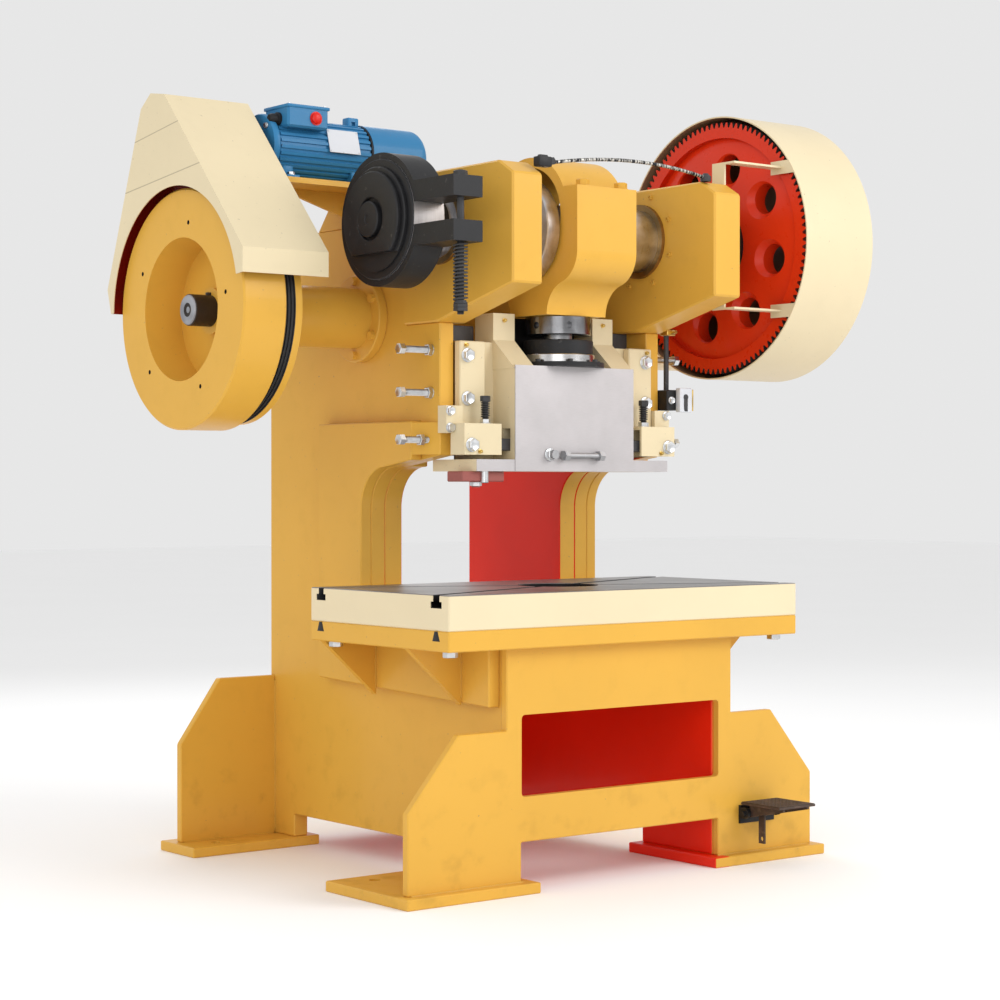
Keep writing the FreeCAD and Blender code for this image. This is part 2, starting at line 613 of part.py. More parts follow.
def pitman_cap():
    cap = box(-PITMAN_X, PITMAN_X, PITMAN_Y[0], 2 * RAM_Y - PITMAN_Y[0], PIN_Z, LEDGE_Z)
    dome = rod_x(BIG_END_R, -PITMAN_X, PITMAN_X, RAM_Y, PIN_Z)
    cap = cap.fuse(dome.common(box(-200, 200, 0, 700, PIN_Z, PIN_Z + 200)))
    return cap.cut(rod_x(BIG_END_BORE, -PITMAN_X - 1, PITMAN_X + 1, RAM_Y, PIN_Z))


def cap_bolts():
    heads = []
    for y in (PITMAN_Y[0] + 24, 2 * RAM_Y - PITMAN_Y[0] - 24):
        heads.append(hexagon(34.0, 20.0, V(72.0, y, LEDGE_Z), Z_AXIS))
    return both(heads)


def ball_screw():
    ball = Part.makeSphere(BALL_R, V(0, RAM_Y, BALL_Z))
    return ball.fuse(rod_z(SCREW_R, BALL_Z, PITMAN_FOOT_Z + 80, 0, RAM_Y))


def adjusting_nut():
    nut = soften(rod_z(NUT_R, CAP_TOP_Z + 14, PITMAN_FOOT_Z, 0, RAM_Y))
    for k in range(6):
        angle = math.radians(60 * k + 10)
        direction = V(math.cos(angle), math.sin(angle), 0)
        nut = nut.cut(Part.makeCylinder(10.0, 40, V(0, RAM_Y, 1594) + direction * 80, direction))
    return nut.cut(rod_z(SCREW_R, 1500, 1700, 0, RAM_Y))


# ---- ram ----

def slide():
    body = box(-SLIDE_X, SLIDE_X, *SLIDE_Y, FLANGE_Z[0], SLIDE_TOP_Z)
    body = body.fuse(box(-FLANGE_X, FLANGE_X, *FLANGE_Y, *FLANGE_Z))
    ear = [(SLIDE_Y[0], SLIDE_TOP_Z - 10), (333.0, 1548.0), (333.0, 1626.0), (SLIDE_Y[1], 1626.0),
           (SLIDE_Y[1], SLIDE_TOP_Z - 10)]
    wing = box(EAR_X[1] - 8, WING_X, GUIDE_Y[0] + SLACK, GUIDE_Y[1] - SLACK, FLANGE_Z[1], 1540.0)
    for piece in both([slab_x(ear, *EAR_X), wing]):
        body = body.fuse(piece)
    body = body.cut(Part.makeSphere(BALL_R + 0.3, V(0, RAM_Y, BALL_Z)))
    body = body.cut(rod_z(BALL_R + 0.3, BALL_Z, SLIDE_TOP_Z + 1, 0, RAM_Y))
    body = body.cut(box(-SLIDE_X - 1, SLIDE_X + 1, KNOCK_Y[0] - 1, KNOCK_Y[1] + 1, KNOCK_Z[0] - 1,
                        KNOCK_Z[1] + 30))
    for x in (-300.0, 300.0):
        for y in (270.0, 410.0):
            body = body.cut(rod_z(9.0, FLANGE_Z[0] - 1, FLANGE_Z[1] + 1, x, y))
    return body.cut(rod_z(SHANK_R, FLANGE_Z[0] - 1, FLANGE_Z[0] + SHANK_DEPTH, 0, RAM_Y))


def ball_cap():
    cap = rod_z(137.0, SLIDE_TOP_Z, SLIDE_TOP_Z + 14, 0, RAM_Y)
    cap = cap.fuse(soften(rod_z(BARREL_R, SLIDE_TOP_Z + 8, CAP_TOP_Z, 0, RAM_Y)))
    cap = cap.cut(Part.makeSphere(BALL_R + 0.3, V(0, RAM_Y, BALL_Z)))
    throat = Part.makeCone(46.5, 60.0, CAP_TOP_Z + 1 - SLIDE_TOP_Z - 8, V(0, RAM_Y, SLIDE_TOP_Z + 8), Z_AXIS)
    return cap.cut(throat)


def knockout_bar():
    return soften(box(-312.0, 312.0, *KNOCK_Y, *KNOCK_Z), 2.0)


def shank_clamp():
    stud = rod_y(13.0, SLIDE_Y[0] - 28, SLIDE_Y[0] + 40, -98.0, 1215.0).common(
        box(-200, 0, SLIDE_Y[0] - 28, SLIDE_Y[0], 1150, 1300))
    bar = rod_x(8.0, -62.0, 92.0, SLIDE_Y[0] - 16, 1212.0)
    ends = [hexagon(28.0, 18.0, V(x, SLIDE_Y[0] - 16, 1212.0), X_AXIS) for x in (-60.0, 72.0)]
    pads = [box(x, x + 12, SLIDE_Y[0] - 16, SLIDE_Y[0], 1203.0, 1221.0) for x in (-40.0, 58.0)]
    return [stud, bar.multiFuse(ends + pads)]


def die_clamp():
    block = soften(box(-400.0, -250.0, 252.0, 328.0, FLANGE_Z[0] - 30, FLANGE_Z[0]))
    return block.fuse(rod_z(12.0, FLANGE_Z[0] - 46, FLANGE_Z[0] - 20, -325.0, 290.0))


# ---- guides and fittings on the frame ----

def guide_block():
    return soften(box(228.0, SIDE_X[0], GUIDE_Y[1], 545.0, 1222.0, CHEEK_Z[0]), 2.0)


def gib_bar():
    return box(GUIDE_X, 366.0, *GUIDE_Y, JAW_Z, 1540.0)


def gib_keeper():
    return soften(box(275.0, 366.0, GUIDE_Y[0] - 27, GUIDE_Y[0], JAW_Z, 1540.0))


def keeper_bolts():
    spots = [V(340.0, GUIDE_Y[0] - 27, z) for z in (1375.0, 1499.0)] + [V(374.0, 244.0, 1241.0)]
    return both([hexagon(32.0, 16.0, spot, Y_AXIS * -1) for spot in spots])


def gib_screws():
    screws = []
    for z, nut_x in zip(GIB_SCREW_Z, (446.0, SIDE_X[1], SIDE_X[1])):
        screw = rod_x(GIB_SCREW_R, 367.0, 534.0, GIB_SCREW_Y, z)
        screw = screw.fuse(hexagon(30.0, 16.0, V(nut_x, GIB_SCREW_Y, z), X_AXIS))
        screws.append(screw.fuse(hexagon(28.0, 18.0, V(516.0, GIB_SCREW_Y, z), X_AXIS)))
    return both(screws)


def knockout_stop():
    arm = box(267.0, 400.0, 244.0, 309.6, JAW_Z + 1, 1302.0)
    arm = arm.cut(box(266.0, 330.0, KNOCK_Y[0] - 6, KNOCK_Y[1] + 6, JAW_Z, 1292.0))
    tab = box(366.5, 425.0, 296.0, JAW_Y - 0.2, 1275.0, 1353.0)
    return arm.fuse(tab).cut(rod_z(9.0, 1280, 1310, 302.0, 275.0))


def knockout_screws():
    screw = rod_z(9.0, 1290.5, 1387.0, 302.0, 275.0)
    screw = screw.fuse(hexagon(28.0, 14.0, V(302.0, 275.0, 1302.0), Z_AXIS))
    return both([screw.fuse(hexagon(26.0, 14.0, V(302.0, 275.0, 1366.0), Z_AXIS))])


def oil_line():
    path = Part.Wire(Part.Arc(V(-324, -4, 2012), V(0, 8, 2051), V(332, 40, 2034)).toShape())
    arc = path.Edges[0]
    start = arc.FirstParameter
    ring = Part.Wire(Part.makeCircle(5.0, arc.valueAt(start), arc.tangentAt(start)))
    pipe = path.makePipeShell([ring], True, False)
    pipe = pipe.fuse(rod_z(9.0, CHEEK_Z[1], 2042.0, 338.0, 40.0))
    return pipe.fuse(rod_x(9.0, -324.0, -296.0, -4.0, 2014.0))


# ---- trip gear and pedal ----

def trip_bracket():
    x, y = TRIP
    body = soften(box(SIDE_X[1], 480.0, y - 34, y + 30, 1356.0, 1418.0))
    return body.cut(rod_z(8.0 + RUN, 1355, 1419, x, y))


def trip_rod():
    return rod_z(8.0, 1368.0, 1586.0, *TRIP)


def trip_lever():
    x, y = TRIP
    head = soften(box(x - 10, x + 24, y - 17, y + 17, 1586.0, 1606.0), 2.0)
    return head.fuse(rod_y(6.0, y - 36, y + 36, x + 8, 1596.0))


def pedal_bracket():
    y, z = PEDAL_AXIS
    base = box(PEDAL_X[0] + 5, PEDAL_X[1] - 5, FACE_Y - 8, FACE_Y, 118.0, 172.0)
    for x0 in (PEDAL_X[0] + 5, PEDAL_X[1] - 17):
        base = base.fuse(box(x0, x0 + 12, y, FACE_Y - 7, z - 16, z + 16)).fuse(rod_x(16.0, x0, x0 + 12, y, z))
    return base.fuse(rod_x(8.0, PEDAL_X[0] - 4, PEDAL_X[1] + 4, y, z))


def pedal_arm():
    y, z = PEDAL_AXIS
    side = [(y - 6, 176.0), (-150.0, 176.0), (-150.0, 168.0), (y - 6, z - 12)]
    arm = ring_x(14.0, 8.0 + RUN, PEDAL_X[0] + 21, PEDAL_X[1] - 21, y, z)
    for x0 in (PEDAL_X[0] + 21, PEDAL_X[1] - 29):
        plate = slab_x(side, x0, x0 + 8).fuse(rod_x(14.0, x0, x0 + 8, y, z))
        arm = arm.fuse(plate.cut(rod_x(8.0 + RUN, x0 - 1, x0 + 9, y, z)))
    return arm


def pedal_plate():
    return soften(box(*PEDAL_X, -156.0, 6.0, 176.0, 183.0), 1.5)


def pedal_link():
    link = box(497.0, 503.0, -46.0, -22.0, 60.0, 176.5)
    return link.cut(rod_x(7.0, 490.0, 510.0, -34.0, 74.0))


def main():
    os.makedirs("parts", exist_ok=True)
    save_pair("side_plate", side_plate())
    save_pair("head_cheek", head_cheek())
    save("throat_doublers", *both([throat_doubler()]))
    save("throat_liners", *both([throat_liner()]))
    save("front_plate", front_plate())
    save("rear_leg_plates", *both([rear_leg()]))
    save("foot_plates", *both([foot(*FOOT_Y, ANCHOR_Y[0]), foot(1090.0, 1290.0, ANCHOR_Y[1])]))
    save("crown_plate", crown_plate())
    save("lower_back_plate", lower_back_plate())
    save("bed_plate", bed_plate())
    save("bed_gussets", *bed_gussets())
    save("bolster_plate", bolster_plate())
    save("bolster_bolts", *bolster_bolts())
    save("crankshaft", crankshaft())
    save("crank_bushes", *both([crank_bush()]))
    save("clutch_collar", clutch_collar())
    save("brake_drum", brake_drum())
    save("brake_band", brake_band())
    save("brake_bolt", *brake_bolt())
    save("main_gear", main_gear())
    save("pinion", pinion())
    save("back_shaft", back_shaft())
    save("flywheel", flywheel())
    save("v_belts", *v_belts())
    save("motor_pulley", motor_pulley())
    save("motor_shaft", motor_shaft())
    save("motor_bracket", motor_bracket())
    save("motor_housing", motor_housing())
    save("motor_fan_cover", motor_fan_cover())
    save("terminal_box", terminal_box())
    save("shaft_housing_left", mirror(shaft_housing(SIDE_X[1], 826.0)))
    save("shaft_housing_right", shaft_housing(SIDE_X[1], 600.0))
    save("flywheel_guard", flywheel_guard())
    save("gear_guard", gear_guard())
    save("guard_straps", *guard_straps())
    save("pitman", pitman())
    save("pitman_cap", pitman_cap())
    save("cap_bolts", *cap_bolts())
    save("ball_screw", ball_screw())
    save("adjusting_nut", adjusting_nut())
    save("slide", slide())
    save("ball_cap", ball_cap())
    save("knockout_bar", knockout_bar())
    save("shank_clamp", *shank_clamp())
    save("die_clamp", die_clamp())
    save("guide_blocks", *both([guide_block()]))
    save("gib_bars", *both([gib_bar()]))
    save("gib_keepers", *both([gib_keeper()]))
    save("keeper_bolts", *keeper_bolts())
    save("gib_screws", *gib_screws())
    save("knockout_stops", *both([knockout_stop()]))
    save("knockout_screws", *knockout_screws())
    save("oil_line", oil_line())
    save("trip_bracket", trip_bracket())
    save("trip_rod", trip_rod())
    save("trip_lever", trip_lever())
    save("pedal_bracket", pedal_bracket())
    save("pedal", pedal_plate().multiFuse([pedal_arm(), pedal_link()]))


main()
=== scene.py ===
import math
import bpy
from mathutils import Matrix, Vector


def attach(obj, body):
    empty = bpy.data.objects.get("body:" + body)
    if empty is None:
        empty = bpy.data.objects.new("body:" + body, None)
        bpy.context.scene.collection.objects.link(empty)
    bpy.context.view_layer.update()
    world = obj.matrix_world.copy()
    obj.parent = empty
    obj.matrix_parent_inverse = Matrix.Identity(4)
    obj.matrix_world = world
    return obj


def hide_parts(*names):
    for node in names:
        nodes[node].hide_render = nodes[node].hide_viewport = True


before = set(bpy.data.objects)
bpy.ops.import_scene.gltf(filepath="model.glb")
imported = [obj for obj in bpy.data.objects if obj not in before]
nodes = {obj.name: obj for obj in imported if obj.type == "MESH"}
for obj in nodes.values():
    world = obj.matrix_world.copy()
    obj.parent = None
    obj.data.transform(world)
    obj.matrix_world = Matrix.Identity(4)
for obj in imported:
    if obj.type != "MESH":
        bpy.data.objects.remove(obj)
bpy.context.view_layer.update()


# ---- driving dimensions, in the drawing's millimetres ----

MM = 0.001
MID_Y = 725.0                    # front datum to the middle of the foundation bolts
CRANK_Y, CRANK_Z = 315.0, 1865.0
SHAFT_Y, SHAFT_Z = 724.0, 1621.5  # the back shaft, which carries the flywheel
MOTOR_Y, MOTOR_Z = 768.0, 2110.0
SIDE_IN, SIDE_OUT = 368.0, 418.0  # faces of a side plate
MID_PLATE = 385.0                # between those two faces
LINER_IN = 306.0
CHEEK_IN = 324.0
HEAD_Z = 1212.0                  # underside of the head
FRONT_PLATE_BACK_Y = 45.0
BACK_PLATE_Y = 1185.0            # front face of the lower back plate
FEET_Y = (-15.0, 1290.0)
FOOT_END_X = 330.0
FOOT_WELD_Z = 30.5
TABLE_X = 654.0
TABLE_Y = (-22.0, 646.0)
TABLE_Z = 831.0
TABLE_EDGE = 2.8                 # width of the table's broken edge
BED_UNDER_Z = 678.0
SLIDE_FRONT_Y = 233.0
GIB_SCREW_Y = 380.0
GIB_SCREW_Z = (1256.0, 1391.0, 1514.0)
DRUM_X, DRUM_R = -650.0, 168.0
CRANK_PAINT_X = -460.0           # the crankshaft is painted beyond it
GEAR_X = (640.0, 730.0)
GEAR_HUB_R = 130.0
GEAR_GUARD_X = (626.0, 910.0)
GEAR_GUARD_R = 409.0
SHAFT_END_X = -1015.8
BELTS_X = -881.0                 # middle of the belt track
WHEEL_GUARD_X = -1065.0          # outer face of the flywheel guard
WHEEL_GUARD_FOLDS = ((354.0, 1767.0), (772.5, 2230.0), (849.5, 2242.5), (903.5, 2205.0),
                     (1103.5, 1700.0), (1043.0, 1500.0))
SEAMS = ((0.136, 2.143), (0.106, 2.0016))  # fall along Y and height in metres at Y = 0
HALF_SEAM = 1.6
PAST_EDGE = 3.5                  # paint masks reach this far past a broken edge


def depth(y):
    """Metres along Y of a drawing place."""
    return (y - MID_Y) * MM


# ---- finishes ----

class Value:
    """A number that varies over the surface and takes arithmetic."""

    def __init__(self, finish, socket):
        self.finish = finish
        self.socket = socket

    def maths(self, operation, first, second=None):
        given = [first] if second is None else [first, second]
        return self.finish.node("ShaderNodeMath", {"operation": operation}, dict(enumerate(given)))

    def __add__(self, other):
        return self.maths("ADD", self, other)

    def __radd__(self, other):
        return self.maths("ADD", other, self)

    def __sub__(self, other):
        return self.maths("SUBTRACT", self, other)

    def __rsub__(self, other):
        return self.maths("SUBTRACT", other, self)

    def __mul__(self, other):
        return self.maths("MULTIPLY", self, other)

    def __rmul__(self, other):
        return self.maths("MULTIPLY", other, self)

    def __gt__(self, other):
        return self.maths("GREATER_THAN", self, other)

    def __lt__(self, other):
        return self.maths("LESS_THAN", self, other)

    def __abs__(self):
        return self.maths("ABSOLUTE", self)

    def power(self, exponent):
        return self.maths("POWER", self, exponent)

    def clamped(self):
        return self.finish.node("ShaderNodeClamp", {}, {0: self})


class Finish:
    """A surface finish: its material and the nodes that make it."""

    def __init__(self, name, roughness=0.4, metallic=0.0, coat=0.0, coat_roughness=0.1):
        self.material = bpy.data.materials.new(name)
        self.material.use_nodes = True
        self.tree = self.material.node_tree
        self.shader = self.tree.nodes["Principled BSDF"]
        self.set("Roughness", roughness)
        self.set("Metallic", metallic)
        self.set("Coat Weight", coat)
        self.shader.inputs["Coat Roughness"].default_value = coat_roughness
        place = self.tree.nodes.new("ShaderNodeTexCoord")
        self.place = Value(self, place.outputs["Object"])

    def node(self, kind, settings, given, output=0):
        made = self.tree.nodes.new(kind)
        for key, setting in settings.items():
            setattr(made, key, setting)
        for key, value in given.items():
            self.feed(made.inputs[key], value)
        return Value(self, made.outputs[output])

    def feed(self, socket, value):
        if isinstance(value, Value):
            self.tree.links.new(value.socket, socket)
        elif isinstance(value, tuple) and socket.type == "RGBA":
            socket.default_value = (*value, 1.0)
        else:
            socket.default_value = value

    def set(self, socket, value):
        self.feed(self.shader.inputs[socket], value)

    def axis(self, letter):
        index = "XYZ".index(letter)
        return self.node("ShaderNodeSeparateXYZ", {}, {0: self.place}, index)

    def stretched(self, x, y, z):
        return self.node("ShaderNodeVectorMath", {"operation": "MULTIPLY"}, {0: self.place, 1: (x, y, z)})

    def noise(self, scale, detail=3.0, roughness=0.55, place=None):
        given = {"Vector": place or self.place, "Scale": scale, "Detail": detail, "Roughness": roughness}
        return self.node("ShaderNodeTexNoise", {}, given, "Fac")

    def band(self, value, low, high):
        """0 below low, 1 above high."""
        settings = {"interpolation_type": "SMOOTHSTEP"}
        return self.node("ShaderNodeMapRange", settings, {0: value, 1: low, 2: high})

    def blend(self, amount, first, second):
        settings = {"data_type": "RGBA"}
        return self.node("ShaderNodeMix", settings, {0: amount, 6: first, 7: second}, 2)

    def bump(self, height, distance, strength=1.0):
        given = {"Height": height, "Distance": distance, "Strength": strength}
        self.set("Normal", self.node("ShaderNodeBump", {}, given))

    def radius_about(self, y, z):
        """Distance from an axis along X, which runs through a drawing place."""
        across = self.axis("Y") - depth(y)
        up = self.axis("Z") - z * MM
        return (across * across + up * up).power(0.5)


def shade(colour, factor):
    """A lighter or darker version of a colour."""
    return tuple(min(1.0, c * factor) for c in colour)


YELLOW = (0.73, 0.405, 0.058)
RED = (0.85, 0.022, 0.003)
GEAR_RED = (0.74, 0.036, 0.006)
# cream darkened as painted shade, for the gear guard's inside
SHADED_CREAM = (0.34, 0.21, 0.13)
CREAM = (0.75, 0.635, 0.415)
BLUE = (0.032, 0.195, 0.40)
BLACK = (0.009, 0.009, 0.010)
STEEL = (0.56, 0.56, 0.57)
ZINC = (0.66, 0.67, 0.68)


def enamel(name, colour, grime=0.35, gloss=0.34):
    """Sprayed machine enamel: orange peel, uneven film, dust low down and a few tiny chips."""
    finish = Finish(name, coat=0.12, coat_roughness=0.14)
    finish.set("Specular IOR Level", 0.2)
    cloud = finish.noise(2.3, 4.0)
    film = finish.noise(14.0, 5.0)
    peel = finish.noise(420.0, 1.0)
    low = 1.0 - finish.band(finish.axis("Z"), 0.02, 0.5)
    dust = (finish.band(film, 0.5, 0.75) * (0.2 + 0.6 * low) * grime).clamped()
    base = finish.blend(cloud, shade(colour, 0.90), shade(colour, 1.07))
    base = finish.blend(dust, base, shade(colour, 0.5))
    chips = finish.band(finish.noise(95.0, 2.0), 0.735, 0.75)
    base = finish.blend(chips * 0.4, base, (0.16, 0.13, 0.11))
    finish.set("Base Color", base)
    finish.set("Roughness", gloss + 0.12 * film + 0.2 * dust)
    finish.bump(peel + 0.6 * film - 0.8 * chips, 0.0004, 0.5)
    return finish, base


def two_colour(name, colour, inner, mask_of, grime=0.35):
    """Enamel in one colour outside and another where mask_of is 1."""
    finish, base = enamel(name, colour, grime)
    cloud = finish.noise(2.6, 3.0)
    inside = finish.blend(cloud, shade(inner, 0.85), shade(inner, 1.1))
    finish.set("Base Color", finish.blend(mask_of(finish), base, inside))
    return finish.material


def within(value, low, high):
    """1 where a value in metres lies between two distances in millimetres."""
    return abs(value - (low + high) / 2 * MM) < (high - low) / 2 * MM


def between_plates(finish):
    """1 on the side plates' inner faces below the head."""
    return (abs(finish.axis("X")) < (SIDE_IN + 2.5) * MM) * (finish.axis("Z") < (HEAD_Z - 2.0) * MM)


def inside_liner(finish):
    """1 on the throat liners' inner faces."""
    return abs(finish.axis("X")) < (LINER_IN + PAST_EDGE) * MM


def behind_front(finish):
    """1 on the front plate's rear face between the side plates."""
    rear = finish.axis("Y") > depth(FRONT_PLATE_BACK_Y - PAST_EDGE)
    return rear * (abs(finish.axis("X")) < MID_PLATE * MM)


def before_back(finish):
    """1 on the lower back plate's front face."""
    return finish.axis("Y") < depth(BACK_PLATE_Y + 0.5)


def inner_foot(finish):
    """1 on the right feet between the side plates."""
    low, high = (y - MID_Y for y in FEET_Y)
    inner = within(finish.axis("X"), FOOT_END_X - 35.0, MID_PLATE)
    return inner * within(finish.axis("Y"), low + 1.5, high - 1.5)


def inside_gear_guard(finish):
    """1 inside the gear guard, behind its two strap tabs."""
    low, high = GEAR_GUARD_X
    inner = finish.radius_about(CRANK_Y, CRANK_Z) < (GEAR_GUARD_R - 2.0) * MM
    return inner * within(finish.axis("X"), low + 2.5, high - 2.5)


def inside_wheel_guard(finish):
    """1 on the inner faces of the flywheel guard's folded sheet."""
    corners = [(depth(y), z * MM) for y, z in WHEEL_GUARD_FOLDS]
    mask = (finish.axis("X") > (WHEEL_GUARD_X + 2.5) * MM) * (finish.axis("Y") > corners[0][0])
    for (y0, z0), (y1, z1) in zip(corners, corners[1:]):
        length = math.hypot(y1 - y0, z1 - z0)
        across = (z1 - z0) / length
        up = -(y1 - y0) / length
        inward = across * finish.axis("Y") + up * finish.axis("Z") - (across * y0 + up * z0)
        mask = mask * (inward > -0.6 * MM)
    return mask


def seamed_guard():
    """Cream sheet with two welded seams across its outer face; its red inside is darkened as painted shade.
    """
    finish, paint = enamel("wheel_guard_finish", CREAM, 0.2)
    y = finish.axis("Y")
    z = finish.axis("Z")
    upper, lower = (abs(z + fall * y - height) < HALF_SEAM * MM for fall, height in SEAMS)
    seams = (upper + lower).clamped() * (finish.axis("X") < (WHEEL_GUARD_X + 0.5) * MM)
    paint = finish.blend(seams, paint, shade(CREAM, 0.62))
    # the red inside is darkened to a quarter as painted shade
    finish.set("Base Color", finish.blend(inside_wheel_guard(finish), paint, shade(RED, 0.25)))
    return finish.material


def turned_steel(name, colour=STEEL, along="X", roughness=0.24):
    """Lathe-turned steel: fine rings across its axis and a faint oil film."""
    finish = Finish(name, metallic=1.0)
    scale = [9.0, 9.0, 9.0]
    scale["XYZ".index(along)] = 900.0
    rings = finish.noise(1.0, 2.0, 0.6, finish.stretched(*scale))
    film = finish.noise(16.0, 4.0)
    base = finish.blend(finish.band(film, 0.35, 0.7), shade(colour, 0.72), shade(colour, 1.1))
    finish.set("Base Color", base)
    finish.set("Roughness", roughness + 0.16 * rings + 0.14 * film)
    finish.bump(rings, 0.00015, 0.5)
    return finish, base


def ground_steel(name, colour=(0.60, 0.60, 0.61), roughness=0.30):
    """Surface-ground steel: straight grinding lines, oil stains and a few scratches."""
    finish = Finish(name, metallic=0.85)
    lines = finish.noise(1.0, 3.0, 0.6, finish.stretched(6.0, 700.0, 60.0))
    stain = finish.noise(5.0, 5.0)
    scratch = finish.band(finish.noise(1.0, 1.0, 0.4, finish.stretched(300.0, 7.0, 9.0)), 0.72, 0.76)
    base = finish.blend(finish.band(stain, 0.35, 0.7), shade(colour, 0.75), shade(colour, 1.08))
    base = finish.blend(scratch * 0.2, base, (0.85, 0.85, 0.86))
    finish.set("Base Color", base)
    finish.set("Roughness", roughness + 0.12 * lines + 0.15 * stain)
    finish.bump(lines - 0.6 * scratch, 0.0001, 0.4)
    return finish, base


def table_finish():
    """Ground top, painted shade in the T-slots, cream sides."""
    finish, steel = ground_steel("table_finish", (0.27, 0.265, 0.27))
    front, back = TABLE_Y
    y = finish.axis("Y") - depth((front + back) / 2)
    ends = abs(finish.axis("X")) > (TABLE_X - TABLE_EDGE) * MM
    long_sides = abs(y) > ((back - front) / 2 - TABLE_EDGE) * MM
    edge = (ends + long_sides).clamped()
    side = edge * (finish.axis("Z") < (TABLE_Z - 2.2) * MM)
    slot = (1.0 - edge) * (finish.axis("Z") < (TABLE_Z - 1.5) * MM)
    cloud = finish.noise(3.0, 4.0)
    cream_side = finish.blend(cloud, shade(CREAM, 0.96), shade(CREAM, 1.08))
    # painted shade: the T-slots' walls and floors are made near black
    upper = finish.blend(slot, steel, (0.018, 0.018, 0.019))
    finish.set("Base Color", finish.blend(side, upper, cream_side))
    finish.set("Metallic", 0.7 - 0.7 * side)
    finish.set("Roughness", 0.31 + 0.14 * cloud + 0.08 * side)
    return finish.material


def slide_finish():
    """Cream casting with its front face ground bright."""
    finish, paint = enamel("slide_finish", CREAM, 0.25)
    front = finish.axis("Y") < depth(SLIDE_FRONT_Y + PAST_EDGE)
    lines = finish.noise(1.0, 3.0, 0.6, finish.stretched(40.0, 6.0, 500.0))
    stain = finish.noise(4.0, 5.0)
    ground = finish.blend(finish.band(stain, 0.3, 0.75), (0.43, 0.405, 0.405), (0.54, 0.505, 0.51))
    ground = finish.blend(lines * 0.4, ground, (0.66, 0.64, 0.65))
    finish.set("Base Color", finish.blend(front, paint, ground))
    finish.set("Metallic", 0.45 * front)
    finish.set("Roughness", 0.38 + 0.1 * lines)
    return finish.material


def satin_black(name, colour=BLACK, roughness=0.42):
    """Satin paint with rubbed spots."""
    finish = Finish(name, coat=0.05, coat_roughness=0.25)
    finish.set("Specular IOR Level", 0.3)
    film = finish.noise(20.0, 5.0)
    peel = finish.noise(240.0, 2.0)
    rub = finish.band(finish.noise(60.0, 3.0), 0.66, 0.74)
    base = finish.blend(film, shade(colour, 0.6), shade(colour, 2.2))
    base = finish.blend(rub * 0.35, base, (0.13, 0.12, 0.11))
    finish.set("Base Color", base)
    finish.set("Roughness", roughness + 0.2 * film)
    finish.bump(peel + film, 0.0005, 0.5)
    return finish, base


def drum_finish():
    """Black drum whose rubbing face is worn bright."""
    finish, paint = satin_black("drum_finish")
    rim = finish.radius_about(CRANK_Y, CRANK_Z) > (DRUM_R - 2.5) * MM
    rim = rim * (finish.axis("X") > (DRUM_X + 4.5) * MM)
    rubbed = finish.noise(1.0, 2.0, 0.6, finish.stretched(700.0, 9.0, 9.0))
    bright = finish.blend(rubbed, (0.45, 0.43, 0.43), (0.80, 0.77, 0.77))
    finish.set("Base Color", finish.blend(rim, paint, bright))
    finish.set("Metallic", 1.0 * rim)
    return finish.material


def crank_finish():
    """Turned crankshaft, painted black beyond its left journal."""
    finish, steel = turned_steel("crank_finish", (0.62, 0.61, 0.62), "X", 0.16)
    outside = finish.axis("X") < CRANK_PAINT_X * MM
    film = finish.noise(20.0, 5.0)
    finish.set("Base Color", finish.blend(outside, steel, finish.blend(film, BLACK, shade(BLACK, 2.0))))
    finish.set("Metallic", 1.0 - outside)
    return finish.material


def shaft_finish():
    """Dark oiled shaft with a grey end face and a dark ring about its centre."""
    finish, steel = turned_steel("back_shaft_finish", (0.42, 0.43, 0.46), "Y", 0.32)
    body = finish.axis("X") > (SHAFT_END_X + 0.6) * MM
    centre = within(finish.radius_about(SHAFT_Y, SHAFT_Z), 9.0, 20.0)
    film = finish.noise(26.0, 5.0)
    dark = finish.blend(film, (0.022, 0.018, 0.016), (0.07, 0.06, 0.055))
    finish.set("Base Color", finish.blend((body + centre).clamped(), steel, dark))
    finish.set("Metallic", 1.0 - 0.4 * body)
    return finish.material


def zinc():
    """Bright plated steel, a little clouded."""
    finish = Finish("bolt_zinc", metallic=1.0)
    cloud = finish.noise(60.0, 4.0)
    finish.set("Base Color", finish.blend(cloud, shade(ZINC, 0.75), shade(ZINC, 1.2)))
    finish.set("Roughness", 0.22 + 0.2 * cloud)
    finish.bump(cloud, 0.0002, 0.4)
    return finish.material


def gear_finish():
    """Red casting with its cut teeth left dark and oily."""
    finish, paint = enamel("gear_finish", GEAR_RED, 0.2, 0.22)
    radius = finish.radius_about(CRANK_Y, CRANK_Z)
    x = finish.axis("X")
    low, high = GEAR_X
    rim = finish.band(radius, 0.374, 0.378) * within(x, low + 0.5, high - 0.5)
    hub = (radius < (GEAR_HUB_R + 0.5) * MM) * (x < (low - 6.0) * MM)
    film = finish.noise(30.0, 4.0)
    teeth = finish.blend(film, (0.02, 0.018, 0.016), (0.10, 0.09, 0.085))
    finish.set("Base Color", finish.blend(rim, finish.blend(hub, paint, BLACK), teeth))
    finish.set("Roughness", 0.22 + 0.15 * film + 0.12 * rim)
    return finish.material


def flywheel_finish():
    """Yellow casting with a black belt track, and painted shade on the walls of its threaded holes."""
    finish, paint = enamel("flywheel_finish", YELLOW)
    radius = finish.radius_about(SHAFT_Y, SHAFT_Z)
    x = finish.axis("X")
    track = within(x, BELTS_X - 18.5, BELTS_X + 18.5) * (radius > 290.0 * MM)
    # painted shade: the walls of the threaded holes are made near black
    hole_shade = within(radius, 236.0, 254.0) * within(x, -1039.5, -1008.5)
    film = finish.noise(30.0, 4.0)
    dark = finish.blend(film, (0.012, 0.012, 0.014), (0.05, 0.05, 0.055))
    finish.set("Base Color", finish.blend((track + hole_shade).clamped(), paint, dark))
    return finish.material


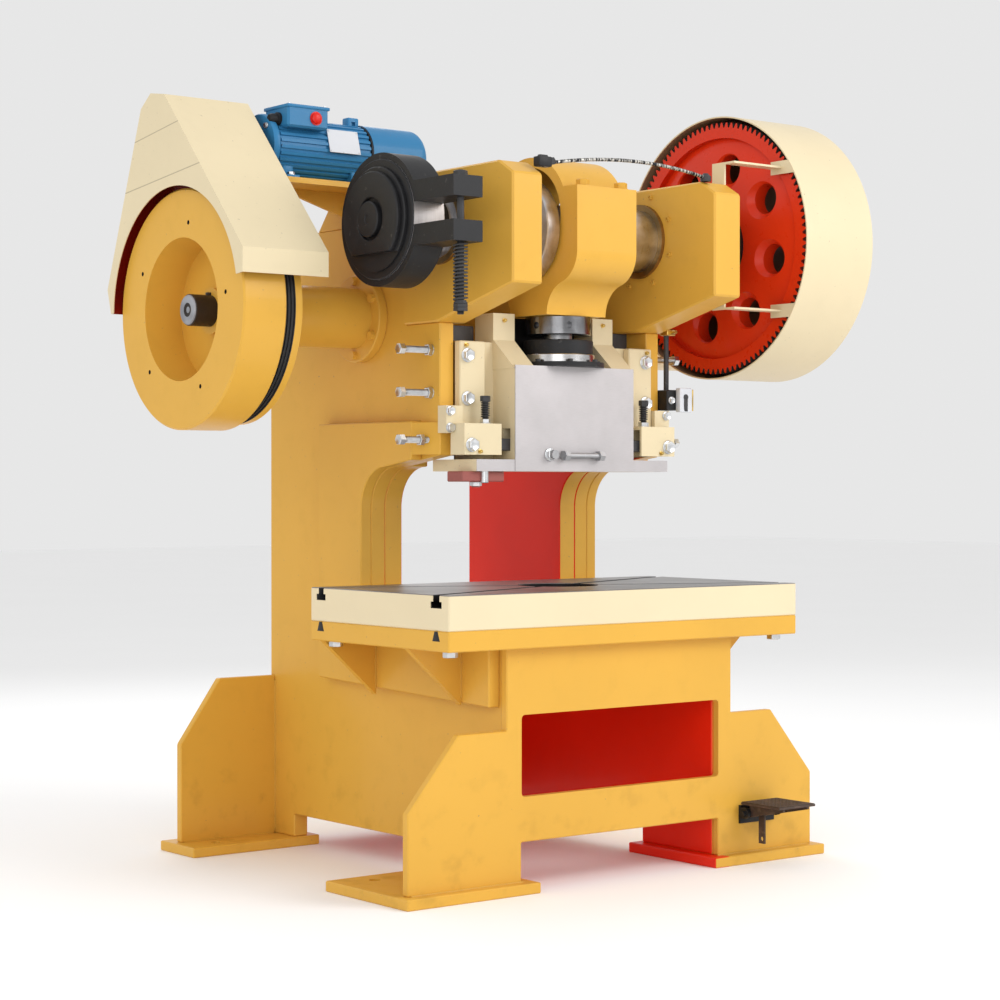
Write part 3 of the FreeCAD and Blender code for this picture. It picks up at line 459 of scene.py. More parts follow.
def rubber():
    """Black belt rubber with a faint weave."""
    finish = Finish("belt_rubber", roughness=0.7)
    weave = finish.noise(1.0, 2.0, 0.5, finish.stretched(900.0, 120.0, 120.0))
    finish.set("Base Color", finish.blend(weave, (0.012, 0.012, 0.012), (0.05, 0.048, 0.045)))
    finish.set("Roughness", 0.6 + 0.25 * weave)
    finish.bump(weave, 0.0004, 0.6)
    return finish.material


def pedal_finish():
    """Worn brown-black tread plate."""
    finish, base = satin_black("pedal_worn", (0.050, 0.032, 0.024), 0.5)
    scuff = finish.band(finish.noise(38.0, 5.0), 0.5, 0.7)
    finish.set("Base Color", finish.blend(scuff * 0.6, base, (0.16, 0.10, 0.07)))
    return finish.material


def braided():
    """Bright braid over a black oil line."""
    finish = Finish("oil_braid", metallic=0.8)
    beads = finish.noise(1.0, 1.0, 0.4, finish.stretched(230.0, 40.0, 40.0))
    bright = finish.band(beads, 0.46, 0.54)
    fine = finish.noise(900.0, 1.0)
    finish.set("Base Color", finish.blend(bright, (0.02, 0.02, 0.024), (0.55, 0.53, 0.48)))
    finish.set("Roughness", 0.3 + 0.25 * fine)
    finish.bump(bright + 0.5 * fine, 0.001, 0.7)
    return finish.material


yellow = enamel("yellow_enamel", YELLOW)[0].material
cream = enamel("cream_enamel", CREAM, 0.2)[0].material
blue = enamel("blue_enamel", BLUE, 0.3, 0.38)[0].material
plug_red = enamel("plug_red", (0.72, 0.02, 0.012), 0.1, 0.3)[0].material
blank_plate = enamel("blank_plate_white", (0.68, 0.70, 0.74), 0.1, 0.4)[0].material
black = satin_black("black_satin")[0].material
side_finish = two_colour("side_plate_finish", YELLOW, RED, between_plates)
liner_finish = two_colour("liner_finish", YELLOW, RED, inside_liner)
front_finish = two_colour("front_plate_finish", YELLOW, RED, behind_front)
back_finish = two_colour("back_plate_finish", YELLOW, RED, before_back)
foot_finish = two_colour("foot_finish", YELLOW, RED, inner_foot)
# inside the gear guard the cream is darkened as painted shade
gear_guard_finish = two_colour("gear_guard_finish", CREAM, SHADED_CREAM, inside_gear_guard, 0.2)
wheel_guard_finish = seamed_guard()
steel_x = turned_steel("turned_shaft")[0].material
steel_z = turned_steel("turned_upright", along="Z")[0].material
chrome = turned_steel("bright_ring", (0.66, 0.65, 0.65), "Z", 0.08)[0].material
dark_chrome = turned_steel("nut_polished", (0.26, 0.26, 0.27), "Z", 0.08)[0].material
guide_grey = ground_steel("guide_ground", (0.46, 0.46, 0.47), 0.36)[0].material
slot_table = table_finish()
ram_finish = slide_finish()
bolt_zinc = zinc()
bronze = turned_steel("bearing_bronze", (0.42, 0.27, 0.11), "X", 0.3)[0].material
brass = turned_steel("turned_brass", (0.74, 0.50, 0.14), "Z", 0.2)[0].material
cast = satin_black("machined_cast", (0.07, 0.07, 0.075), 0.5)[0].material
dark_steel = satin_black("blackened_steel", (0.03, 0.03, 0.032), 0.38)[0].material
clamp_red = enamel("clamp_primer", (0.33, 0.10, 0.085), 0.4, 0.4)[0].material
weld = enamel("painted_weld", shade(YELLOW, 0.88), 0.3, 0.3)[0].material
belt = rubber()
drum_black = drum_finish()
crank_steel = crank_finish()
shaft_dark = shaft_finish()
gear_red = gear_finish()
wheel_yellow = flywheel_finish()
pedal_brown = pedal_finish()
oil_braid = braided()

NODE_FINISH = {
    "side_plate_left": side_finish, "side_plate_right": side_finish, "throat_liners": liner_finish,
    "front_plate": front_finish, "lower_back_plate": back_finish, "foot_plates": foot_finish,
    "bolster_plate": slot_table, "crown_plate": yellow, "main_gear": gear_red,
    "gear_guard": gear_guard_finish, "flywheel_guard": wheel_guard_finish, "guard_straps": cream,
    "gib_keepers": cream, "knockout_stops": cream, "trip_bracket": black,
    "crankshaft": crank_steel, "crank_bushes": bronze, "gib_bars": bronze, "clutch_collar": black,
    "brake_drum": drum_black, "brake_band": black, "ball_cap": black, "pedal": pedal_brown,
    "pedal_bracket": black, "back_shaft": shaft_dark, "flywheel": wheel_yellow, "pinion": steel_x,
    "motor_shaft": steel_x, "motor_pulley": cast, "v_belts": belt, "motor_fan_cover": blue,
    "terminal_box": blue, "slide": ram_finish, "guide_blocks": cast, "ball_screw": steel_z,
    "adjusting_nut": dark_chrome, "knockout_bar": dark_steel, "trip_rod": dark_steel, "trip_lever": brass,
    "die_clamp": clamp_red, "shank_clamp": guide_grey, "oil_line": oil_braid,
}
for name, node in nodes.items():
    finish = NODE_FINISH.get(name, yellow)
    if not node.material_slots:
        node.data.materials.append(finish)
    for place in node.material_slots:
        place.material = finish


# ---- modelling ----

QUARTER = math.pi / 2
ORIGIN = (0.0, 0.0, 0.0)
UP = (0.0, 0.0, 0.0)             # turns that stand a piece along each direction
DOWN = (math.pi, 0.0, 0.0)
FRONT = (QUARTER, 0.0, 0.0)
RIGHT = (0.0, QUARTER, 0.0)
LEFT = (0.0, -QUARTER, 0.0)
SIDES = ((1, RIGHT), (-1, LEFT))
THREAD_PITCH = 2.5
WELD_RIPPLE = 7.0
WELD_SIZE = 3.6
STUD_STEP = 15.0                 # between the pedal mat's studs
PLATE_RADIUS = 92.5              # motor axis to its bare plate


def at(x, y, z):
    """A place in the drawing's millimetres, in metres from the bolt pattern's centre."""
    return (x * MM, depth(y), z * MM)


def above(height):
    """A place this many millimetres over the origin."""
    return (0.0, 0.0, height * MM)


def only(*pieces):
    """Selects just these objects; the last one is active."""
    bpy.ops.object.select_all(action="DESELECT")
    for piece in pieces:
        piece.select_set(True)
    bpy.context.view_layer.objects.active = pieces[-1]


def settle(piece):
    """Moves a piece's place and turn into its mesh."""
    only(piece)
    bpy.ops.object.transform_apply(location=True, rotation=True, scale=True)
    return piece


def placed(piece, place, turn=UP):
    """Turns a piece and then moves it, in its mesh."""
    piece.rotation_euler = turn
    piece.location = place
    return settle(piece)


def faces(piece, test):
    """Opens edit mode with the faces that pass the test (middle, normal) selected."""
    only(piece)
    bpy.ops.object.mode_set(mode="EDIT")
    bpy.ops.mesh.select_mode(type="FACE")
    bpy.ops.mesh.select_all(action="DESELECT")
    bpy.ops.object.mode_set(mode="OBJECT")
    for face in piece.data.polygons:
        face.select = test(face.center, face.normal)
    bpy.ops.object.mode_set(mode="EDIT")


def done():
    """Leaves edit mode."""
    bpy.ops.object.mode_set(mode="OBJECT")


def top_side(middle, normal):
    return normal.z > 0.99


def front_side(middle, normal):
    return normal.y < -0.99


def shifted(shift):
    """A move in millimetres, as the operators take it in metres."""
    return tuple(s * MM for s in shift)


def bordered(piece, test, border, shift):
    """Moves the middle of the chosen faces inside a border, with a slope round it."""
    faces(piece, test)
    bpy.ops.mesh.inset(thickness=border * MM)
    bpy.ops.transform.translate(value=shifted(shift))
    done()


def pocketed(piece, test, border, shift):
    """Moves the middle of the chosen faces inside a border, with upright walls round it."""
    faces(piece, test)
    bpy.ops.mesh.inset(thickness=border * MM)
    bpy.ops.mesh.extrude_region_move(TRANSFORM_OT_translate={"value": shifted(shift)})
    done()


def draw(up, scale=1.0):
    """Draws the selected faces up and widens or narrows their end."""
    bpy.ops.mesh.extrude_region_move(TRANSFORM_OT_translate={"value": (0.0, 0.0, up)})
    bpy.ops.transform.resize(value=(scale, scale, 1.0))


def turned(profile, sides=24):
    """A turned piece standing on the origin, drawn up from step to step of (height, radius)."""
    (low, wide), (high, next_wide) = profile[:2]
    bpy.ops.object.select_all(action="DESELECT")
    bpy.ops.mesh.primitive_cone_add(vertices=sides, radius1=wide * MM, radius2=next_wide * MM,
                                    depth=(high - low) * MM, location=above((low + high) / 2))
    piece = settle(bpy.context.active_object)
    faces(piece, top_side)
    for (z0, r0), (z1, r1) in zip(profile[1:], profile[2:]):
        draw((z1 - z0) * MM, r1 / r0)
    done()
    return piece


def block(x0, x1, y0, y1, z0, z1, edge=1.5):
    """A box between drawing faces with its edges rounded."""
    bpy.ops.object.select_all(action="DESELECT")
    bpy.ops.mesh.primitive_cube_add(size=1.0, location=at((x0 + x1) / 2, (y0 + y1) / 2, (z0 + z1) / 2))
    piece = bpy.context.active_object
    piece.scale = ((x1 - x0) * MM, (y1 - y0) * MM, (z1 - z0) * MM)
    return rounded(settle(piece), edge)


def rounded(piece, edge, segments=2):
    """Rounds a piece's edges."""
    modifier = piece.modifiers.new("rounded", "BEVEL")
    modifier.width = edge * MM
    modifier.segments = segments
    modifier.limit_method = "ANGLE"
    modifier.angle_limit = math.radians(30)
    only(piece)
    bpy.ops.object.modifier_apply(modifier=modifier.name)
    return piece


def paint(piece, finish):
    """Gives a piece one finish."""
    piece.data.materials.clear()
    piece.data.materials.append(finish)
    return piece


def together(*pieces):
    """Joins pieces into the last one."""
    only(*pieces)
    if len(pieces) > 1:
        bpy.ops.object.join()
    return bpy.context.active_object


def copy_of(piece):
    """A copy with a mesh of its own."""
    twin = piece.copy()
    twin.data = piece.data.copy()
    bpy.context.collection.objects.link(twin)
    return twin


def set_at(model, spots):
    """One copy of a model at each spot (place, turn), joined, in place of the model."""
    twins = [placed(copy_of(model), place, turn) for place, turn in spots]
    bpy.data.objects.remove(model)
    return together(*twins)


def repeated(piece, count, step):
    """A row of count copies in the mesh, each a step in metres from the last."""
    row = piece.modifiers.new("row", "ARRAY")
    row.count = count
    row.use_relative_offset = False
    row.use_constant_offset = True
    row.constant_offset_displace = step
    only(piece)
    bpy.ops.object.modifier_apply(modifier=row.name)
    return piece


def keep(name, piece, body, slot, *replaced):
    """Names a finished piece and says what it moves with and what it stands for; its finish slot argument is
    not used.
    """
    only(piece)
    bpy.ops.object.shade_smooth_by_angle(angle=math.radians(32))
    piece.name = name
    piece.data.name = name
    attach(piece, body)
    if replaced:
        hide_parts(*replaced)
    return piece


# ---- bolts, nuts and small fittings, standing on the origin ----

def hex_body(across, height, low=0.0):
    """A hexagon with a chamfered top and a shallow turned dish in it."""
    radius = across / math.sqrt(3) * MM
    chamfer = 0.1 * height * MM
    straight = height * MM - chamfer
    bpy.ops.object.select_all(action="DESELECT")
    bpy.ops.mesh.primitive_cylinder_add(vertices=6, radius=radius, depth=straight,
                                        location=(0.0, 0.0, low * MM + straight / 2))
    piece = settle(bpy.context.active_object)
    faces(piece, top_side)
    draw(chamfer, 0.88)
    bpy.ops.mesh.inset(thickness=0.12 * radius)
    bpy.ops.transform.translate(value=(0.0, 0.0, -0.06 * radius))
    done()
    return piece


def washer(radius, thickness=2.5):
    """A plain disc with a broken edge, to lie under a head."""
    return turned([(0.0, radius), (thickness * 0.7, radius), (thickness, radius * 0.96)])


def hex_bolt(across, height):
    """A hexagon head on its washer."""
    return together(washer(across * 0.66), hex_body(across, height - 2.4, 2.4))


def socket_screw(radius, height):
    """A round head with a hexagon socket."""
    head = turned([(0.0, radius), (height * 0.85, radius), (height, radius * 0.92)], 12)
    pocketed(head, top_side, radius * 0.42, (0.0, 0.0, -height * 0.5))
    return head


def ridges(low, high, crest):
    """The (height, radius) steps of a thread between two heights."""
    steps = []
    height = low
    while height + THREAD_PITCH <= high:
        steps += [(height + THREAD_PITCH / 2, crest - 0.61 * THREAD_PITCH), (height + THREAD_PITCH, crest)]
        height += THREAD_PITCH
    return steps


def threaded(length, radius):
    """A threaded rod standing on the origin."""
    steps = [(0.0, radius), (0.5, radius)] + ridges(0.5, length - 1.5, radius)
    return turned(steps + [(length, radius * 0.8)], 14)


def grease_nipple():
    """A small brass nipple."""
    profile = [(0.0, 6.5), (2.0, 6.5), (2.6, 4.0), (6.0, 4.0), (6.6, 5.0), (9.0, 4.6), (10.5, 2.4)]
    return paint(turned(profile, 14), brass)


def coil(turns, pitch, wire, radius):
    """A wound spring standing on the origin."""
    bpy.ops.object.select_all(action="DESELECT")
    bpy.ops.mesh.primitive_circle_add(vertices=10, radius=wire * MM, location=(radius * MM, 0.0, wire * MM),
                                      rotation=FRONT)
    spring = settle(bpy.context.active_object)
    winding = spring.modifiers.new("winding", "SCREW")
    winding.axis = "Z"
    winding.angle = 2 * math.pi * turns
    winding.screw_offset = pitch * turns * MM
    winding.steps = 20 * turns
    winding.render_steps = 20 * turns
    only(spring)
    bpy.ops.object.modifier_apply(modifier=winding.name)
    bpy.ops.object.mode_set(mode="EDIT")
    bpy.ops.mesh.select_all(action="SELECT")
    bpy.ops.mesh.fill_holes(sides=12)
    bpy.ops.mesh.select_all(action="SELECT")
    bpy.ops.mesh.normals_make_consistent(inside=False)
    done()
    return spring


def weld_run(start, end):
    """A ripple bead from one drawing place to another."""
    first = Vector(at(*start))
    run = Vector(at(*end)) - first
    count = max(2, int(run.length / (WELD_RIPPLE * MM)))
    bpy.ops.object.select_all(action="DESELECT")
    bpy.ops.mesh.primitive_uv_sphere_add(segments=8, ring_count=4, radius=WELD_SIZE * MM)
    bead = bpy.context.active_object
    bead.scale = (1.0, 1.0, 1.45)
    row = repeated(settle(bead), count, (0.0, 0.0, run.length / count))
    return placed(row, first, run.to_track_quat("Z", "Y").to_euler())


# ---- fasteners on the frame and the guides ----

def keeper_bolt_heads():
    """Two bolts on each guide keeper and one on each knock-out stop."""
    head = paint(hex_bolt(32.0, 16.0), bolt_zinc)
    places = ((340.0, 310.0, 1375.0), (340.0, 310.0, 1499.0), (374.0, 244.0, 1241.0))
    spots = [(at(side * x, y, z), FRONT) for side in (-1, 1) for x, y, z in places]
    keep("keeper_bolt_heads", set_at(head, spots), "frame", "nut_chrome", "keeper_bolts")


def gib_screws():
    """The side screws of the guides; the lowest of each side has its nut further out."""
    nut = placed(hex_body(30.0, 14.0), above(2.4))
    low_nut = placed(copy_of(nut), above(28.0))
    high_screw = together(threaded(100.0, 10.0), washer(17.0), hex_body(28.0, 18.0, 98.0))
    low_screw = copy_of(high_screw)
    high = paint(together(high_screw, nut), bolt_zinc)
    low = paint(together(low_screw, low_nut), bolt_zinc)
    low_z, *high_z = GIB_SCREW_Z
    high_spots = [(at(side * SIDE_OUT, GIB_SCREW_Y, z), turn) for side, turn in SIDES for z in high_z]
    low_spots = [(at(side * SIDE_OUT, GIB_SCREW_Y, low_z), turn) for side, turn in SIDES]
    screws = together(set_at(high, high_spots), set_at(low, low_spots))
    keep("gib_screw_set", screws, "frame", "nut_chrome", "gib_screws")


def knockout_screws():
    """Spring-loaded set screws on the knock-out stops."""
    stud = placed(paint(threaded(86.0, 9.0), dark_steel), above(-12.0))
    cap = paint(hex_body(26.0, 16.0, 64.0), dark_steel)
    spring = placed(paint(coil(7, 6.6, 1.8, 11.5), dark_steel), above(16.0))
    nut = paint(hex_bolt(28.0, 14.0), bolt_zinc)
    stop = together(stud, cap, spring, nut)
    stops = set_at(stop, [(at(side * 302.0, 275.0, 1302.0), UP) for side in (-1, 1)])
    keep("knockout_screw_set", stops, "frame", "nut_chrome", "knockout_screws")


def circle_of(radius, count, start, across, up):
    """Evenly spaced places on a circle about the middle (across, up), from a starting angle in degrees."""
    angles = [math.radians(360 / count * k + start) for k in range(count)]
    return [(across + radius * math.cos(a), up + radius * math.sin(a)) for a in angles]


def other_bolts():
    """Bolts of the table, rod cap, bearings, motor feet, stop tabs and guard straps."""
    under = paint(hex_bolt(36.0, 18.0), bolt_zinc)
    spots = [(at(side * 610.0, y, BED_UNDER_Z), DOWN) for side in (-1, 1) for y in (30.0, 580.0)]
    keep("bolster_bolt_heads", set_at(under, spots), "frame", "nut_chrome", "bolster_bolts")

    top = paint(hex_bolt(34.0, 20.0), yellow)
    spots = [(at(side * 72.0, y, 1984.0), UP) for side in (-1, 1) for y in (116.0, 514.0)]
    keep("cap_bolt_heads", set_at(top, spots), "connecting_rod", "frame_yellow", "cap_bolts")

    small = paint(socket_screw(7.5, 7.0), weld)
    spots = []
    for y, z in circle_of(140.0, 8, 20.0, CRANK_Y, CRANK_Z):
        spots += [(at(CHEEK_IN, y, z), LEFT), (at(-CHEEK_IN, y, z), RIGHT)]
    keep("bearing_screws", set_at(small, spots), "frame", "frame_yellow")

    foot = paint(hex_bolt(19.0, 9.0), bolt_zinc)
    spots = [(at(x, MOTOR_Y + dy, 2024.0), UP) for x in (-698.0, -458.0) for dy in (-86.0, 86.0)]
    keep("motor_foot_bolts", set_at(foot, spots), "frame", "nut_chrome")

    tab = paint(hex_bolt(22.0, 12.0), bolt_zinc)
    spots = [(at(side * 412.0, 296.0, z), FRONT) for side in (-1, 1) for z in (1290.0, 1338.0)]
    keep("stop_tab_bolts", set_at(tab, spots), "frame", "nut_chrome")

    strap = paint(hex_bolt(19.0, 8.0), bolt_zinc)
    spots = [(at(436.0, 84.0, z), RIGHT) for z in (1674.0, 1726.0, 2013.0, 2065.0)]
    keep("strap_bolts", set_at(strap, spots), "frame", "nut_chrome")


def grease_points():
    """Nipples on the guides, the stops and the ram."""
    on_the_guide, on_the_stop = (310.0, 1528.0), (244.0, 1222.0)
    spots = [(at(side * 345.0, y, z), FRONT) for y, z in (on_the_guide, on_the_stop) for side in (-1, 1)]
    keep("grease_nipples", set_at(grease_nipple(), spots), "frame", "brass")
    spots = [(at(side * 188.0, 333.0, 1606.0), FRONT) for side in (-1, 1)]
    keep("ram_nipples", set_at(grease_nipple(), spots), "ram", "brass")


# ---- brake and crank end ----

def drum_boss():
    """The drum's raised face, cut off along one chord, with the crank's end in it."""
    boss = turned([(0.0, 132.0), (11.0, 132.0), (14.0, 129.0), (14.0, 62.0), (12.5, 60.0), (1.0, 60.0)], 72)
    only(boss)
    bpy.ops.object.mode_set(mode="EDIT")
    bpy.ops.mesh.select_all(action="SELECT")
    bpy.ops.mesh.bisect(plane_co=(-94.0 * MM, 0.0, 0.0), plane_no=(-1.0, 0.0, 0.0), use_fill=True,
                        clear_outer=True)
    done()
    rounded(boss, 1.2)
    hub = turned([(0.0, 50.0), (15.0, 50.0), (18.0, 46.5), (18.0, 14.0), (15.5, 12.0)], 40)
    placed(hub, (0.0, 8.0 * MM, 0.0))
    face = paint(together(boss, hub), black)
    keep("drum_boss", set_at(face, [(at(-662.0, CRANK_Y, CRANK_Z), LEFT)]), "crank", "black_paint")


def brake_tie():
    """The brake band's bolt with its nuts, spring seats and spring."""
    low_thread = ridges(2.0, 40.0, 10.0)
    high_thread = ridges(346.0, 386.0, 10.0)
    plain = [(42.0, 10.0), (345.0, 10.0)]
    steps = [(0.0, 8.0), (1.5, 10.0)] + low_thread + plain + high_thread + [(389.0, 8.0)]
    nuts = [hex_body(34.0, height, low) for height, low in ((10.0, 9.0), (10.0, 19.0), (15.0, 372.0))]
    seats = [turned([(low, 19.0), (low + 4.0, 19.0), (low + 4.0, 16.0), (low + 9.0, 15.5)])
             for low in (29.0, 358.0)]
    spring = placed(coil(16, 9.7, 3.0, 17.5), above(33.0))
    tie = paint(together(turned(steps, 16), *nuts, *seats, spring), dark_steel)
    keep("brake_tie", placed(tie, at(-595.0, 4.0, 1586.0)), "frame", "dark_steel", "brake_bolt")


# ---- motor ----

def motor_frame():
    """Finned barrel, end shield, feet and lifting lug."""
    barrel = turned([(0.0, 80.0), (8.0, 86.0), (322.0, 86.0), (330.0, 80.0)], 60)
    placed(barrel, ORIGIN, RIGHT)

    def fin(middle, normal):
        step = round(math.degrees(math.atan2(normal.z, normal.y)) / 6.0 - 0.5)
        return abs(normal.x) < 0.1 and step % 2 == 0

    faces(barrel, fin)
    bpy.ops.mesh.extrude_region_shrink_fatten(TRANSFORM_OT_shrink_fatten={"value": 5.0 * MM})
    done()
    placed(barrel, at(-740.0, MOTOR_Y, MOTOR_Z))
    shield = turned([(0.0, 60.0), (4.0, 93.0), (9.0, 96.0), (22.0, 96.0), (25.0, 92.0)], 60)
    placed(shield, at(-763.0, MOTOR_Y, MOTOR_Z), RIGHT)
    feet = []
    for x0 in (-720.0, -480.0):
        pad = block(x0, x0 + 44.0, 668.0, 868.0, 2010.0, 2024.0, 2.0)
        web = block(x0 + 4.0, x0 + 40.0, 698.0, 838.0, 2022.0, 2062.0, 4.0)
        feet += [pad, web]
    lug = block(-452.0, -412.0, 752.0, 784.0, 2186.0, 2224.0, 5.0)
    pocketed(lug, front_side, 8.0, (0.0, 9.0, 0.0))
    body = paint(together(shield, lug, *feet, barrel), blue)
    keep("motor_frame", body, "frame", "motor_blue", "motor_housing")


def motor_ends():
    """Bolts of the end shield, and a black ring painted as the shade in the gap before the fan cover."""
    bolt = paint(hex_bolt(13.0, 7.0), bolt_zinc)
    spots = [(at(-762.5, y, z), LEFT) for y, z in circle_of(78.0, 4, 45.0, MOTOR_Y, MOTOR_Z)]
    keep("shield_bolts", set_at(bolt, spots), "frame", "nut_chrome")

    # painted shade: a black ring stands in for the shaded gap before the fan cover
    gap = turned([(0.0, 88.0), (1.0, 92.5), (9.0, 92.5), (10.0, 88.0)], 60)
    placed(gap, at(-416.0, MOTOR_Y, MOTOR_Z), RIGHT)
    keep("fan_gap_shade_ring", paint(gap, black), "frame", "black_paint")


def terminal_fittings():
    """Lid with its screws, red plug and cable gland of the terminal box."""
    lid = block(-728.0, -582.0, 652.0, 783.0, 2216.0, 2226.0, 2.5)
    screw = socket_screw(5.0, 3.5)
    screws = set_at(screw, [(at(x, y, 2226.0), UP) for x in (-716.0, -594.0) for y in (664.0, 771.0)])
    keep("terminal_lid", together(paint(screws, bolt_zinc), paint(lid, blue)), "frame", "motor_blue")

    plug = turned([(0.0, 20.0), (3.0, 20.0), (3.0, 17.0), (8.0, 16.5), (11.0, 13.0), (12.5, 6.0)], 32)
    placed(plug, at(-630.0, 655.0, 2190.0), FRONT)
    keep("terminal_plug", paint(plug, plug_red), "frame", "motor_blue")

    gland = turned([(0.0, 19.0), (8.0, 19.0), (9.0, 15.0), (26.0, 14.0), (34.0, 10.0)], 24)
    placed(gland, at(-725.0, 705.0, 2186.0), LEFT)
    keep("cable_gland", paint(gland, black), "frame", "black_paint")


def motor_plate():
    """The bare plate on the barrel, with four rivets."""
    plate = block(-570.0, -462.0, -1.0, 1.4, -36.0, 36.0, 0.6)
    bordered(plate, front_side, 3.0, (0.0, 0.4, 0.0))
    placed(plate, (0.0, MID_Y * MM, 0.0))
    rivet = turned([(0.0, 2.4), (1.0, 2.4), (1.8, 1.2)], 10)
    spots = [((x * MM, -1.2 * MM, z * MM), FRONT) for x in (-565.0, -467.0) for z in (-31.0, 31.0)]
    plate = together(set_at(rivet, spots), plate)
    tilt = math.radians(16.0)
    out = PLATE_RADIUS * math.cos(tilt)
    up = PLATE_RADIUS * math.sin(tilt)
    placed(plate, at(0.0, MOTOR_Y - out, MOTOR_Z + up), (-tilt, 0.0, 0.0))
    keep("blank_plate", paint(plate, blank_plate), "frame", "bright_steel")


def fan_grille():
    """Rings and bars over the fan's dark opening."""
    rings = []
    for radius in (18.0, 34.0, 50.0, 64.0):
        bpy.ops.object.select_all(action="DESELECT")
        bpy.ops.mesh.primitive_torus_add(major_radius=radius * MM, minor_radius=2.2 * MM, major_segments=48,
                                         minor_segments=8, rotation=RIGHT,
                                         location=at(-203.0, MOTOR_Y, MOTOR_Z))
        rings.append(paint(settle(bpy.context.active_object), blue))
    for k in range(4):
        bar = block(-204.5, -201.5, -66.0, 66.0, -2.5, 2.5, 0.8)
        placed(bar, (0.0, MID_Y * MM, 0.0))
        placed(bar, at(0.0, MOTOR_Y, MOTOR_Z), (math.radians(45.0 * k), 0.0, 0.0))
        rings.append(paint(bar, blue))
    shadow = turned([(0.0, 66.0), (0.8, 66.0), (1.2, 64.0)], 48)
    placed(shadow, at(-205.2, MOTOR_Y, MOTOR_Z), RIGHT)
    rings.append(paint(shadow, black))
    keep("fan_grille", together(*rings), "frame", "motor_blue")


# ---- flywheel end ----

def shaft_end():
    """Turned recess on the flywheel shaft's end, and its key."""
    centre = turned([(0.0, 41.5), (1.6, 41.5), (2.4, 40.5), (2.4, 17.0), (0.3, 9.0)], 40)
    placed(centre, at(SHAFT_END_X, SHAFT_Y, SHAFT_Z), LEFT)
    key = paint(block(-956.0, -940.5, 718.0, 730.0, 1664.0, 1674.0, 1.0), dark_steel)
    keep("shaft_centre", together(paint(centre, shaft_dark), key), "flywheel_shaft", "dark_steel")


# ---- ram ----

def ram_parts():
    """Seat ring, a black rear plate that is also painted shade behind the ears, cap screws and clamp stud."""
    ring = turned([(0.0, 106.0), (1.5, 109.0), (22.0, 109.0), (24.0, 107.0), (24.0, 103.0)], 72)
    placed(ring, at(0.0, CRANK_Y, 1485.6))
    keep("seat_ring", paint(ring, chrome), "ram", "bright_steel")

    # a plate between the slide's ears, painted black to stand in for the deep shade there as well
    shield = block(-152.0, 152.0, 421.0, 431.0, 1474.0, 1622.0, 1.5)
    pocketed(shield, front_side, 5.0, (0.0, 7.0, 0.0))
    keep("rear_plate_and_shade", paint(shield, black), "ram", "black_paint")

    screw = paint(socket_screw(8.0, 8.0), dark_steel)
    circle = circle_of(123.0, 8, 22.5, 0.0, CRANK_Y)
    keep("cap_screws", set_at(screw, [(at(x, y, 1486.0), UP) for x, y in circle]), "ram", "dark_steel")

    stud = turned([(0.0, 9.0), (2.0, 12.0), (34.0, 12.0), (36.0, 10.0)], 20)
    placed(stud, at(-325.0, 250.0, 1132.0))
    nut = placed(hex_body(30.0, 12.0), at(-325.0, 290.0, 1124.0))
    keep("clamp_stud", paint(together(nut, stud), bolt_zinc), "ram", "nut_chrome")


def clamp_hardware():
    """The bolt in the ram's front that holds the shank clamp."""
    head = placed(paint(hex_bolt(30.0, 16.0), bolt_zinc), at(-98.0, 232.0, 1215.0), FRONT)
    ring = paint(turned([(0.0, 19.0), (2.0, 19.0), (3.0, 17.0)], 28), dark_steel)
    placed(ring, at(-98.0, 233.2, 1215.0), FRONT)
    keep("shank_bolt", together(head, ring), "ram", "nut_chrome")


# ---- table and bed ----

def bed_notch_shades():
    """Black wedges just proud of the bed plate's ends, narrow at the top: painted shade standing in for
    notches.
    """
    foot_z, top_z = 706.0, 733.0
    edge = 0.3

    def top_rim(middle, normal):
        return middle.z > (top_z - edge - 0.1) * MM

    wedges = []
    for side in (-1, 1):
        x = side * (TABLE_X - 0.4)
        for y in (35.2, 594.8):
            wedge = block(x - 0.8, x + 0.8, y - 17.0, y + 17.0, foot_z, top_z, edge)
            faces(wedge, top_rim)
            bpy.ops.transform.resize(value=(1.0, 0.42, 1.0), center_override=at(0.0, y, top_z))
            done()
            # painted shade: thin black wedges stand in for the shaded notches
            wedges.append(paint(wedge, black))
    keep("bed_notch_shades", together(*wedges), "frame", "black_paint")


def welds():
    """Beads along the plates' joints."""
    runs = []
    for side in (-1, 1):
        wall = side * (SIDE_OUT + 0.5)
        upright = [((wall, 45.8, 44.0), (wall, 45.8, 660.0)), ((wall, 1209.5, 44.0), (wall, 1209.5, 515.0))]
        gussets = []
        for y in (185.0, 205.0, 600.0, 620.0):
            gussets.append(((side * 457.0, y, 536.0), (side * 457.0, y, 672.0)))
            gussets.append(((side * 462.0, y, 677.5), (side * 632.0, y, 677.5)))
        feet = [((side * x, y, FOOT_WELD_Z), (side * 752.0, y, FOOT_WELD_Z))
                for x, y in ((372.0, 19.5), (430.0, 45.8), (430.0, 1209.5), (430.0, 1235.5))]
        doubler = [((wall, 68.0, 513.5), (wall, 900.0, 543.0)), ((wall, 906.5, 552.0), (wall, 906.5, 1302.0)),
                   ((wall, 433.0, 1310.5), (wall, 898.0, 1310.5))]
        runs += [weld_run(start, end) for start, end in upright + gussets + feet + doubler]
    keep("weld_beads", paint(together(*runs), weld), "frame", "frame_yellow")


# ---- oil line, trip gear and pedal ----

